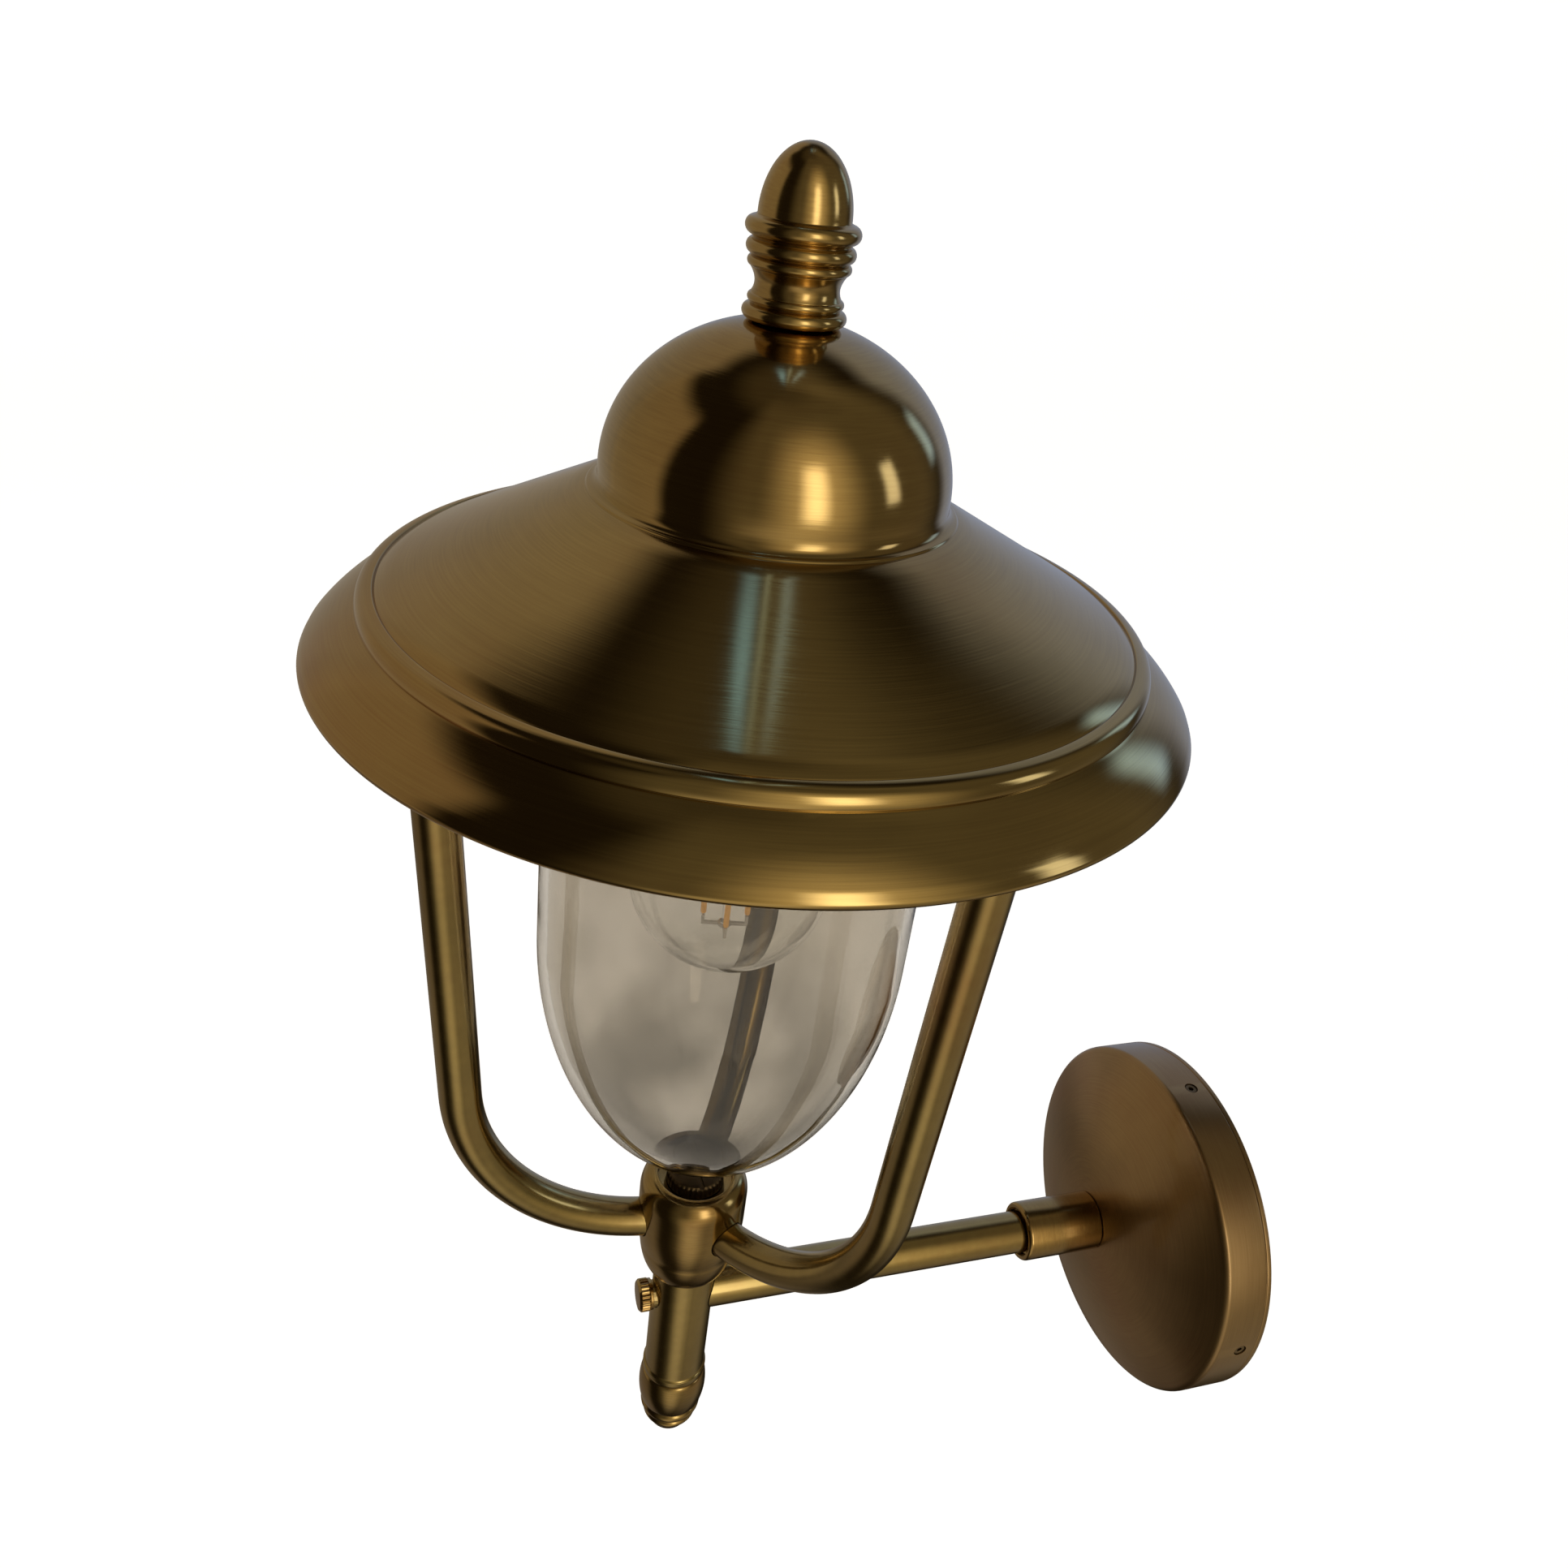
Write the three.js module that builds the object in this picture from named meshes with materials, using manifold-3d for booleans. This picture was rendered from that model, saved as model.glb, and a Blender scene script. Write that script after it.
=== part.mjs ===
// A wall lantern in aged brass: a domed wall plate and arm, an upright post with a turned hub, three bent
// tube arms that carry a spun round hood, and a clear glass bell that hangs over a filament bulb.
//
// Millimetres, +Z up. The origin is the centre of the wall bracket's back face, which lies against the wall,
// and the lantern stands out from the wall along -Y.
import * as THREE from "three";
import { mergeVertices } from "three/addons/utils/BufferGeometryUtils.js";
import Module from "manifold-3d";

const wasm = await Module();
wasm.setup();

// Driving dimensions
const GAP = 0.3; // clearance between pieces that touch
const REACH = 213; // wall face to the lantern's upright axis
const RIM_HEIGHT = 268.5; // wall arm's axis to the hood's rim
const HOOD_R = 120; // hood's rim
const HOOD_WALL = 1.2;
const HOOD_RIM_Z = -2.7; // middle of its rolled edge, just below the height that the rest is measured from
const DOME_R = 45.8; // dome on top of the hood
const DOME_RISE = 39.8;
const DOME_Z = 47.5; // height at which the dome is widest
const POST_R = 11.6;
const POST_BORE_R = 9;
const POST_TOP_Z = -253.7;
const POST_END_Z = -312.4;
const ARM_R = 8.3; // wall arm's tube
const ARM_BORE_R = 7;
const NIPPLE_R = 5; // threaded tube that ties the wall arm to the post
const PLATE_R = 70; // wall plate
const PLATE_DEPTH = 20; // its straight rim
const PLATE_RISE = 18; // its dome, beyond the rim
const PLATE_WALL = 1.4;
const PLATE_SCREW_Y = 9; // set screws' distance from the wall
const PLATE_HOLE_R = 2.6;
const BRACKET_R = 60;
const BRACKET_THICK = 2;
const LEG_R = 6.75; // lantern arm's tube
const LEG_BORE_R = 5.25;
const LEG_BEND_R = 74;
const LEG_LEAN = THREE.MathUtils.degToRad(3); // the arms spread a little towards the top
const LEG_BEND = THREE.MathUtils.degToRad(77);
const LEG_BEND_START = [81.3, -155.5]; // radius and height where the straight leg meets the bend
const LEG_TOP_Z = 3;
const LEG_AZIMUTHS = { front: -90, right: 30, left: 150 };
const LEG_NECK_R = 4.9;
const SPIDER_Z = 3.8; // star plate that joins the three arms under the hood
const SPIDER_THICK = 3;
const SCREW_HOLE_R = 2.1; // clears the small screws in the spider and the bracket
const GLASS_R = 57.8;
const GLASS_RISE = 89.4; // depth of the glass's round end
const GLASS_Z = -100; // height at which the round end begins
const GLASS_WALL = 3;
const GLASS_NECK_R = 51;
const BULB_R = 31.2;
const BULB_Z = -75; // centre of the bulb's round end
const FILAMENT_RING_R = 6.9;
const FILAMENT_END_Z = -91.8;
const FILAMENT_LENGTH = 36;
const ROD_R = 4;
const LEAD_R = 2.3; // three-core lead inside the tubes

const WIDE = 40; // segments round the large turned pieces
const NARROW = 20; // segments round the small ones

const material = (color, roughness, metalness, more = {}) =>
  new THREE.MeshStandardMaterial({ color, roughness, metalness, ...more });
const agedBrass = material(0x8a6a36, 0.35, 1);
const innerBrass = material(0xa88a4c, 0.4, 1);
const steel = material(0x9a9c9e, 0.4, 1);
const nickel = material(0xb8b4ac, 0.3, 1);
const ceramic = material(0xe6e0d4, 0.5, 0);
const plastic = material(0xd9d6cc, 0.5, 0);
const rubber = material(0x2a2826, 0.9, 0);
const leadSheath = material(0x3a3633, 0.6, 0);
const clearGlass = material(0xe4e0d6, 0.05, 0, { transparent: true, opacity: 0.3 });
const phosphor = material(0xe0a040, 0.5, 0);

// Solids

function solid(geometry) {
  const bare = geometry.clone();
  bare.deleteAttribute("normal");
  bare.deleteAttribute("uv");
  const merged = mergeVertices(bare, 1e-4);
  return new wasm.Manifold(
    new wasm.Mesh({
      numProp: 3,
      vertProperties: new Float32Array(merged.attributes.position.array),
      triVerts: new Uint32Array(merged.index.array),
    }),
  );
}

const join = (...solids) => solids.reduce((all, one) => all.add(one));
const cut = (base, ...tools) => tools.reduce((left, tool) => left.subtract(tool), base);

function addTo(group, name, shape, look) {
  const { vertProperties, triVerts } = shape.getMesh();
  const indexed = new THREE.BufferGeometry();
  indexed.setAttribute("position", new THREE.BufferAttribute(vertProperties, 3));
  indexed.setIndex(new THREE.BufferAttribute(triVerts, 1));
  const geometry = indexed.toNonIndexed();
  geometry.computeVertexNormals();
  const mesh = new THREE.Mesh(geometry, look);
  mesh.name = name;
  group.add(mesh);
}

// Turns an outline of [radius, height] points about +Z. The outline runs anticlockwise, radius to the right
// and height upwards, and starts and ends on the axis or is closed here.
function turned(outline, segments = NARROW) {
  const onAxis = outline[0][0] === 0;
  const points = (onAxis ? outline : [...outline, outline[0]]).map(([r, z]) => new THREE.Vector2(r, z));
  return solid(new THREE.LatheGeometry(points, segments).rotateX(Math.PI / 2));
}

const ring = (inner, outer, low, high, segments = NARROW) =>
  turned([[inner, low], [outer, low], [outer, high], [inner, high]], segments);

const rod = (radius, low, high, segments = NARROW) =>
  turned([[0, low], [radius, low], [radius, high], [0, high]], segments);

function box([x0, x1], [y0, y1], [z0, z1]) {
  const block = new THREE.BoxGeometry(x1 - x0, y1 - y0, z1 - z0);
  return solid(block.translate((x0 + x1) / 2, (y0 + y1) / 2, (z0 + z1) / 2));
}

function prism(shape, low, high, curveSegments = NARROW) {
  const block = new THREE.ExtrudeGeometry(shape, { depth: high - low, bevelEnabled: false, curveSegments });
  return solid(block.translate(0, 0, low));
}

function polygon(corners, radiusAt) {
  const shape = new THREE.Shape();
  for (let i = 0; i < corners; i += 1) {
    const angle = (i * 2 * Math.PI) / corners;
    const r = radiusAt(i);
    if (i === 0) shape.moveTo(r, 0);
    else shape.lineTo(r * Math.cos(angle), r * Math.sin(angle));
  }
  return shape;
}

function hexNut(acrossFlats, bore, low, high) {
  const shape = polygon(6, () => acrossFlats / Math.sqrt(3));
  return cut(prism(shape, low, high), rod(bore, low - 1, high + 1, 12));
}

const knurled = (radius, ribs, low, high) =>
  prism(polygon(2 * ribs, (i) => radius - (i % 2) * 0.5), low, high);

// A pan-head screw with a cross slot, its head's underside at headZ and its shank going down to tipZ.
function panScrew(headR, headZ, headTall, shankR, tipZ) {
  const body = turned(
    [
      [0, tipZ],
      [shankR, tipZ],
      [shankR, headZ],
      [headR, headZ],
      [headR, headZ + 0.5 * headTall],
      [0.6 * headR, headZ + headTall],
      [0, headZ + headTall],
    ],
    12,
  );
  const slot = [headZ + 0.6 * headTall, headZ + 2 * headTall];
  return cut(body, box([-headR, headR], [-0.35, 0.35], slot));
}

// Points of an arc or a part of an ellipse, from one angle to another in degrees.
function arc(r, z, radiusR, radiusZ, from, to, steps) {
  return Array.from({ length: steps + 1 }, (_, i) => {
    const angle = THREE.MathUtils.degToRad(from + ((to - from) * i) / steps);
    return [r + radiusR * Math.cos(angle), z + radiusZ * Math.sin(angle)];
  });
}

// Points of a smooth curve from one point to another, pulled towards a third.
function sweepTo(start, pull, end, steps) {
  const curve = new THREE.QuadraticBezierCurve(
    new THREE.Vector2(...start),
    new THREE.Vector2(...pull),
    new THREE.Vector2(...end),
  );
  return curve.getPoints(steps).map(({ x, y }) => [x, y]);
}

// A half-round bead on a turned outline, followed upwards.
const bead = (widest, middle, half, steps = 3) => arc(widest - half, middle, half, half, -80, 80, steps);

const turn = (shape, degrees) => shape.rotate([0, 0, degrees]);
const shift = (shape, x, y, z) => shape.translate([x, y, z]);

// Wall fitting, drawn with its own Z pointing out from the wall and its own Y up.

const wall = new THREE.Group();
wall.rotation.x = Math.PI / 2;

const quarterTurns = { right: 0, top: 90, left: 180, bottom: 270 };

// Sphere that the wall plate's dome is part of.
const plateSphereR = (PLATE_R ** 2 + PLATE_RISE ** 2) / (2 * PLATE_RISE);
const plateSphereZ = PLATE_DEPTH + PLATE_RISE - plateSphereR;
const plateFaceAt = (r, sphereR = plateSphereR) => plateSphereZ + Math.sqrt(sphereR ** 2 - r ** 2);

function radialHole(radius, r0, r1, z, degrees) {
  const hole = rod(radius, r0, r1, 12).rotate([0, 90, 0]);
  return turn(shift(hole, 0, 0, z), degrees);
}

function buildBracket() {
  const tabInner = PLATE_R - 4.6;
  const tabOuter = PLATE_R - 3;
  const tabHalf = 6;
  const tab = join(
    box([BRACKET_R - 4, tabOuter], [-tabHalf, tabHalf], [0, BRACKET_THICK]),
    box([tabInner, tabOuter], [-tabHalf, tabHalf], [0, 16]),
  );
  let bracket = rod(BRACKET_R, 0, BRACKET_THICK, WIDE);
  for (const degrees of Object.values(quarterTurns)) {
    const hole = radialHole(PLATE_HOLE_R, 55, PLATE_R, PLATE_SCREW_Y, degrees);
    bracket = cut(join(bracket, turn(tab, degrees)), hole);
  }
  const cableHole = shift(rod(9, -1, 3), 0, 30, 0);
  const wallScrewHoles = [-48, 48].map((x) => shift(rod(2.25, -1, 3, 12), x, 0, 0));
  const earthHole = shift(rod(SCREW_HOLE_R, -1, 3, 12), 30, -25, 0);
  return cut(bracket, cableHole, ...wallScrewHoles, earthHole);
}

function buildPlate() {
  const innerR = PLATE_R - PLATE_WALL;
  const innerSphereR = plateSphereR - PLATE_WALL;
  const holeR = ARM_R + 0.4;
  const steps = 6;
  const domeRadii = Array.from({ length: steps + 1 }, (_, i) => PLATE_R + ((holeR - PLATE_R) * i) / steps);
  const outer = domeRadii.map((r) => [r, plateFaceAt(r)]);
  const innerRadii = domeRadii.toReversed().map((r) => Math.min(r, innerR));
  const inner = innerRadii.map((r) => [r, plateFaceAt(r, innerSphereR)]);
  const shell = turned([[innerR, 0.5], [PLATE_R, 0.5], ...outer, ...inner], WIDE);
  const holes = Object.values(quarterTurns).map((degrees) =>
    radialHole(PLATE_HOLE_R, 62, PLATE_R + 3, PLATE_SCREW_Y, degrees),
  );
  return cut(shell, ...holes);
}

function buildSetScrew(degrees) {
  const screw = cut(rod(2.3, PLATE_R - 7, PLATE_R - 0.4, 12), rod(1.1, PLATE_R - 2.4, PLATE_R, 6));
  return turn(shift(screw.rotate([0, 90, 0]), 0, 0, PLATE_SCREW_Y), degrees);
}

function buildSleeve() {
  const bore = ARM_R + 0.4;
  const outer = 11.7;
  const end = 71;
  return turned([
    [bore, plateFaceAt(bore) + GAP],
    [outer, plateFaceAt(outer) + GAP],
    [outer, end - 1.6],
    ...arc(outer - 1.2, end - 1.6, 1.2, 1.6, 0, 90, 3).slice(1),
    [bore + 1, end],
    [bore + 1, end - 3],
    [bore, end - 3.4],
  ]);
}

const TERMINALS = [-10, 0, 10];
const TERMINAL_ROW = -30;
const BLOCK_FACE = 14.3;

function buildTerminalBlock() {
  const block = box([-16, 16], [-37, -23], [BRACKET_THICK + GAP, BLOCK_FACE]);
  const wells = TERMINALS.flatMap((x) => [
    shift(rod(2.1, BLOCK_FACE - 6, BLOCK_FACE + 1, 12), x, TERMINAL_ROW, 0),
    shift(rod(1.5, -40, -32, 8).rotate([-90, 0, 0]), x, -70, BLOCK_FACE - 7),
  ]);
  return cut(block, ...wells);
}

function buildTerminalScrew(x) {
  const slot = box([-3, 3], [-0.3, 0.3], [BLOCK_FACE - 2, BLOCK_FACE]);
  const screw = cut(rod(1.8, BLOCK_FACE - 5.7, BLOCK_FACE - 1, 12), slot);
  return shift(screw, x, TERMINAL_ROW, 0);
}

const postEnvelope = solid(new THREE.CylinderGeometry(POST_R + GAP, POST_R + GAP, 60, WIDE));

function buildWallArm() {
  const tube = ring(ARM_BORE_R, ARM_R, 26, REACH);
  return cut(tube, shift(postEnvelope, 0, 0, REACH));
}

function buildArmNipple() {
  const tube = ring(3.8, NIPPLE_R, REACH - 22, REACH + 15.2);
  return cut(tube, box([-8, 8], [0, 8], [REACH - 6.5, REACH + 6.5]));
}

function buildArmCap() {
  const face = REACH + POST_R + 0.4;
  const end = face + 5.4;
  const bore = rod(NIPPLE_R + GAP, face - 1, end - 1.4);
  const collar = rod(5.8, face, face + 1.2);
  const head = knurled(6.1, 20, face + 1, end - 0.6);
  const crown = turned([[0, end - 1], [5.6, end - 1], [5, end], [0, end]]);
  return cut(join(collar, head, crown), bore);
}

addTo(wall, "wall_bracket", buildBracket(), steel);
addTo(wall, "wall_plate", buildPlate(), agedBrass);
for (const [side, degrees] of Object.entries(quarterTurns))
  addTo(wall, `plate_screw_${side}`, buildSetScrew(degrees), agedBrass);
addTo(wall, "terminal_block", buildTerminalBlock(), plastic);
TERMINALS.forEach((x, i) => addTo(wall, `terminal_screw_${i + 1}`, buildTerminalScrew(x), innerBrass));
addTo(wall, "earth_screw", shift(panScrew(4, BRACKET_THICK + GAP, 2.4, 1.8, 0.4), 30, -25, 0), innerBrass);
addTo(wall, "arm_sleeve", buildSleeve(), agedBrass);
addTo(wall, "arm_lock_nut", hexNut(24, ARM_R + GAP, 29.6, 35), innerBrass);
addTo(wall, "wall_arm", buildWallArm(), agedBrass);
addTo(wall, "arm_plug", ring(NIPPLE_R + GAP, ARM_BORE_R - GAP, REACH - 24, REACH - POST_R - 1.4), innerBrass);
addTo(wall, "arm_nipple", buildArmNipple(), innerBrass);
addTo(wall, "arm_cap", buildArmCap(), agedBrass);

// Lantern, drawn about its own upright axis with Z = 0 at the hood's rim.

const lantern = new THREE.Group();
lantern.position.set(0, -REACH, RIM_HEIGHT);

function buildPost() {
  const tube = turned([
    [POST_BORE_R, POST_END_Z],
    [POST_R - 0.2, POST_END_Z],
    [POST_R + 0.7, POST_END_Z + 1.2],
    [POST_R + 0.7, POST_END_Z + 3.2],
    [POST_R, POST_END_Z + 4.7],
    [POST_R, POST_TOP_Z],
    [10.3, POST_TOP_Z],
    [10.3, POST_TOP_Z + 7.8],
    [POST_BORE_R, POST_TOP_Z + 7.8],
  ]);
  const crossHole = solid(new THREE.CylinderGeometry(NIPPLE_R + GAP, NIPPLE_R + GAP, 40, NARROW));
  return cut(tube, shift(crossHole, 0, 0, -RIM_HEIGHT));
}

function buildBottomFinial() {
  const shoulder = POST_END_Z - GAP;
  return turned([
    [0, shoulder - 35.4],
    ...arc(0, shoulder - 28.4, 8.5, 7, -70, 0, 4),
    [9.2, shoulder - 28],
    ...bead(10.5, shoulder - 25.6, 1.8, 2),
    ...bead(11.8, shoulder - 20.5, 2.5, 3),
    [11.7, shoulder - 17.7],
    ...sweepTo([12, shoulder - 17.2], [14.2, shoulder - 8.6], [12.2, shoulder - 0.6], 5),
    [11.8, shoulder],
    [POST_BORE_R - GAP, shoulder],
    [POST_BORE_R - GAP, POST_END_Z + 8],
    [0, POST_END_Z + 8],
  ]);
}

// Centre line of a lantern arm in its own upright plane, X outwards: out of the hub, round the bend and up.
// It has one step along each straight stretch and even steps round the bend.
class LegCurve extends THREE.Curve {
  static BEND_STEPS = 9;
  static STEPS = LegCurve.BEND_STEPS + 2;

  getPoint(t) {
    const step = t * LegCurve.STEPS;
    const done = THREE.MathUtils.clamp((step - 1) / LegCurve.BEND_STEPS, 0, 1);
    const angle = LEG_LEAN + LEG_BEND * (1 - done);
    const [startR, startZ] = LEG_BEND_START;
    const x = startR - LEG_BEND_R * (Math.cos(LEG_LEAN) - Math.cos(angle));
    const z = startZ - LEG_BEND_R * (Math.sin(angle) - Math.sin(LEG_LEAN));
    const before = Math.min(step - 1, 0) * 8;
    const after = (Math.max(step - 1 - LegCurve.BEND_STEPS, 0) * (LEG_TOP_Z - startZ)) / Math.cos(LEG_LEAN);
    const along = before + after;
    return new THREE.Vector3(x + along * Math.sin(angle), 0, z + along * Math.cos(angle));
  }

  getPointAt(t) {
    return this.getPoint(t);
  }

  getTangentAt(t) {
    return this.getTangent(t);
  }
}

const legCurve = new LegCurve();
const legTop = legCurve.getPoint(1);

function tubeAlong(curve, steps, outer, bore, outerSides, boreSides) {
  const section = new THREE.Shape().absarc(0, 0, outer, 0, 2 * Math.PI);
  const round = (shape, sides) => shape.getSpacedPoints(sides).slice(0, -1);
  const outline = new THREE.Shape(round(section, outerSides));
  if (bore > 0) {
    const hole = new THREE.Path().absarc(0, 0, bore, 0, 2 * Math.PI, true);
    outline.holes.push(new THREE.Path(round(hole, boreSides)));
  }
  return solid(new THREE.ExtrudeGeometry(outline, { steps, extrudePath: curve, bevelEnabled: false }));
}

function buildLeg() {
  const tube = tubeAlong(legCurve, LegCurve.STEPS, LEG_R, LEG_BORE_R, 16, 10);
  const neckBore = 3.3;
  const neck = turned([
    [neckBore, LEG_TOP_Z - 2.4],
    [LEG_R - 0.7, LEG_TOP_Z - 2.4],
    [LEG_R - 0.7, LEG_TOP_Z],
    [LEG_NECK_R, LEG_TOP_Z],
    [LEG_NECK_R, LEG_TOP_Z + 9],
    [neckBore, LEG_TOP_Z + 9],
  ]);
  return join(tube, shift(neck, legTop.x, 0, 0));
}

const HUB = { top: -205.5, bottom: -253.4, widest: 19.3, bore: 9, recess: 13.4, floor: -209.2 };

function buildHub() {
  const socket = 10.6; // takes the post's reduced end
  const body = turned(
    [
      [socket, HUB.bottom],
      [12.2, HUB.bottom],
      ...sweepTo([12.8, HUB.bottom + 0.9], [16.9, HUB.bottom + 4.5], [17.9, HUB.bottom + 14.8], 5),
      [HUB.widest, HUB.bottom + 29],
      [HUB.widest, HUB.top - 9],
      ...arc(HUB.widest - 5, HUB.top - 8, 5, 8, 10, 85, 5),
      [HUB.recess, HUB.top],
      [HUB.recess, HUB.floor],
      [HUB.bore, HUB.floor],
      [HUB.bore, HUB.bottom + 8.5],
      [socket, HUB.bottom + 8.1],
    ],
    WIDE / 2,
  );
  const start = legCurve.getPoint(0);
  const direction = legCurve.getPoint(1 / LegCurve.STEPS).sub(start).normalize();
  const tilt = THREE.MathUtils.radToDeg(Math.acos(direction.z));
  const socketHole = shift(rod(LEG_R + GAP, -5, 30, 18).rotate([0, tilt, 0]), start.x, 0, start.z);
  return cut(body, ...Object.values(LEG_AZIMUTHS).map((degrees) => turn(socketHole, degrees)));
}

function buildHubCap() {
  const underside = HUB.floor + GAP;
  const top = underside + 5.2;
  const shank = rod(HUB.bore - GAP, HUB.floor - 7, underside + 0.5);
  const head = knurled(10.2, 30, underside, top - 0.8);
  const crown = turned([[0, top - 1.2], [9.4, top - 1.2], [8.4, top], [0, top]]);
  return cut(join(shank, head, crown), box([-20, 20], [-0.9, 0.9], [top - 1, top + 1]));
}

const SPIDER_HOLE_R = 21.5;
const BRIDGE = { azimuth: 60, foot: 35, halfWidth: 6, thick: 2.4, underside: 30.1 };
const GALLERY_SCREWS = [-30, 90, 210].map((azimuth) => ({ azimuth, r: 33 }));
const BRIDGE_SCREWS = [0, 180].map((half) => ({ azimuth: BRIDGE.azimuth + half, r: BRIDGE.foot }));

const atPolar = (shape, { azimuth, r }) => turn(shift(shape, r, 0, 0), azimuth);
const screwHoles = [...GALLERY_SCREWS, ...BRIDGE_SCREWS].map((place) =>
  atPolar(rod(SCREW_HOLE_R, 0, 12, 8), place),
);

function buildSpider() {
  const top = SPIDER_Z + SPIDER_THICK;
  let plate = rod(41, SPIDER_Z, top, WIDE);
  for (const azimuth of Object.values(LEG_AZIMUTHS)) {
    const spoke = box([30, legTop.x], [-8, 8], [SPIDER_Z, top]);
    const pad = shift(rod(11, SPIDER_Z, top), legTop.x, 0, 0);
    plate = join(plate, turn(spoke, azimuth), turn(pad, azimuth));
  }
  const legHoles = Object.values(LEG_AZIMUTHS).map((azimuth) =>
    atPolar(rod(LEG_NECK_R + 0.4, 0, 12), { azimuth, r: legTop.x }),
  );
  return cut(plate, rod(SPIDER_HOLE_R, 0, 12), ...legHoles, ...screwHoles);
}

function buildGallery() {
  const skirtInner = GLASS_NECK_R + 0.6;
  const skirtOuter = skirtInner + 1.6;
  const top = SPIDER_Z - GAP;
  const cup = turned(
    [
      [SPIDER_HOLE_R, top - 1.5],
      [skirtInner, top - 1.5],
      [skirtInner, -13],
      [skirtOuter, -13],
      [skirtOuter, top],
      [SPIDER_HOLE_R, top],
    ],
    WIDE,
  );
  return cut(cup, ...screwHoles);
}

function buildBridge() {
  const { foot, halfWidth, thick, underside } = BRIDGE;
  const seat = SPIDER_Z + SPIDER_THICK + GAP;
  const legOuter = 31.2;
  const across = [-halfWidth, halfWidth];
  const sides = [1, -1].flatMap((side) => {
    const leg = [legOuter - thick, legOuter].map((x) => side * x).sort((a, b) => a - b);
    const flange = [legOuter - thick, foot + 4.5].map((x) => side * x).sort((a, b) => a - b);
    return [box(leg, across, [seat, underside + thick]), box(flange, across, [seat, seat + thick])];
  });
  const strap = join(box([-legOuter, legOuter], across, [underside, underside + thick]), ...sides);
  const rodHole = rod(ROD_R + GAP, 0, 50);
  const feetHoles = [foot, -foot].map((x) => shift(rod(SCREW_HOLE_R, 0, 20, 8), x, 0, 0));
  return turn(cut(strap, rodHole, ...feetHoles), BRIDGE.azimuth);
}

// The lamp holder hangs from the rod: an outer shell, a ceramic insert, a thread sleeve and a contact.
const HOLDER = { r: 20, wall: 2, bottom: -24, top: 22 };

function buildHolderShell() {
  const inner = HOLDER.r - HOLDER.wall;
  const shell = turned([
    [inner, HOLDER.bottom],
    [HOLDER.r, HOLDER.bottom],
    [HOLDER.r, HOLDER.top - 3],
    [HOLDER.r - 3, HOLDER.top],
    [ROD_R + GAP, HOLDER.top],
    [ROD_R + GAP, HOLDER.top - 2],
    [inner - 2, HOLDER.top - 2],
    [inner, HOLDER.top - 4],
  ]);
  const leadHole = shift(rod(LEAD_R + 0.7, 10, 30, 12).rotate([0, 90, 0]), 0, 0, 15.5);
  return cut(shell, turn(leadHole, LEG_AZIMUTHS.left));
}

const buildHolderInsert = () =>
  turned([[0, 4], [14.6, 4], [14.6, -23], [17.6, -23], [17.6, 11], [0, 11]]);

const buildHolderContact = () => turned([[0, -0.4], [3, -0.4], [4.5, 0.4], [4.5, 3.6], [0, 3.6]], 12);

// Hood

const domePoint = (inset, from, to, steps) =>
  arc(0, DOME_Z, DOME_R - inset, DOME_RISE - inset, from, to, steps);

function buildHood() {
  const rodHole = ROD_R + 0.6;
  const rim = 1.6;
  const outer = [
    ...arc(HOOD_R - rim, HOOD_RIM_Z, rim, rim, -100, 40, 3),
    ...sweepTo([119, -0.4], [114, 5.9], [105.8, 10.8], 3),
    ...sweepTo([105.8, 10.8], [105.8, 15.6], [100.6, 15.9], 4).slice(1),
    [48.6, 42.8],
    [46.2, 44.6],
    ...domePoint(0, 0, 84, 8),
    [rodHole, DOME_Z + DOME_RISE - 0.2],
  ];
  const inner = [
    [rodHole, DOME_Z + DOME_RISE - HOOD_WALL],
    ...domePoint(HOOD_WALL, 80, 0, 5),
    [DOME_R - HOOD_WALL, 44.2],
    [100.2, 14.7],
    [104.8, 9.8],
    [112.4, 5.1],
    [117, -0.9],
  ];
  return turned([...outer, ...inner], WIDE);
}

function buildFinial() {
  const bore = ROD_R + GAP;
  const seat = DOME_Z + DOME_RISE + GAP;
  return turned([
    [bore, seat],
    [7, seat - 0.4],
    ...bead(12.95, 88.2, 1.8),
    ...bead(11.9, 91.4, 1.1),
    ...sweepTo([11.2, 92.4], [9.4, 95], [11.8, 98.3], 3),
    ...bead(12.7, 99.6, 1.3),
    ...bead(13.35, 102.9, 1.9),
    ...bead(14, 107.4, 2.1),
    ...arc(0, 109.9, 11.3, 16.6, 0, 90, 6).slice(0, -1),
    [0, 126.5],
    [0, 109.4],
    [bore, 108.6],
  ]);
}

// Glass bell

function buildGlass() {
  const innerR = GLASS_R - GLASS_WALL;
  const top = SPIDER_Z - GAP - 4.1;
  const outer = arc(0, GLASS_Z, GLASS_R, GLASS_RISE, -90, 0, 8).slice(1);
  const inner = arc(0, GLASS_Z, innerR, GLASS_RISE - GLASS_WALL, 0, -90, 8).slice(0, -1);
  return turned(
    [
      [0, GLASS_Z - GLASS_RISE],
      ...outer,
      ...sweepTo([GLASS_R, -32], [GLASS_R, -23], [GLASS_NECK_R, -18], 3),
      [GLASS_NECK_R, top],
      [GLASS_NECK_R - GLASS_WALL, top],
      ...sweepTo([GLASS_NECK_R - GLASS_WALL, -19], [innerR, -24], [innerR, -33], 3),
      ...inner,
      [0, GLASS_Z - GLASS_RISE + GLASS_WALL],
    ],
    WIDE,
  );
}

// Bulb

const BULB_NECK_R = 13;
const BULB_COLLAR_Z = -27;

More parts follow.
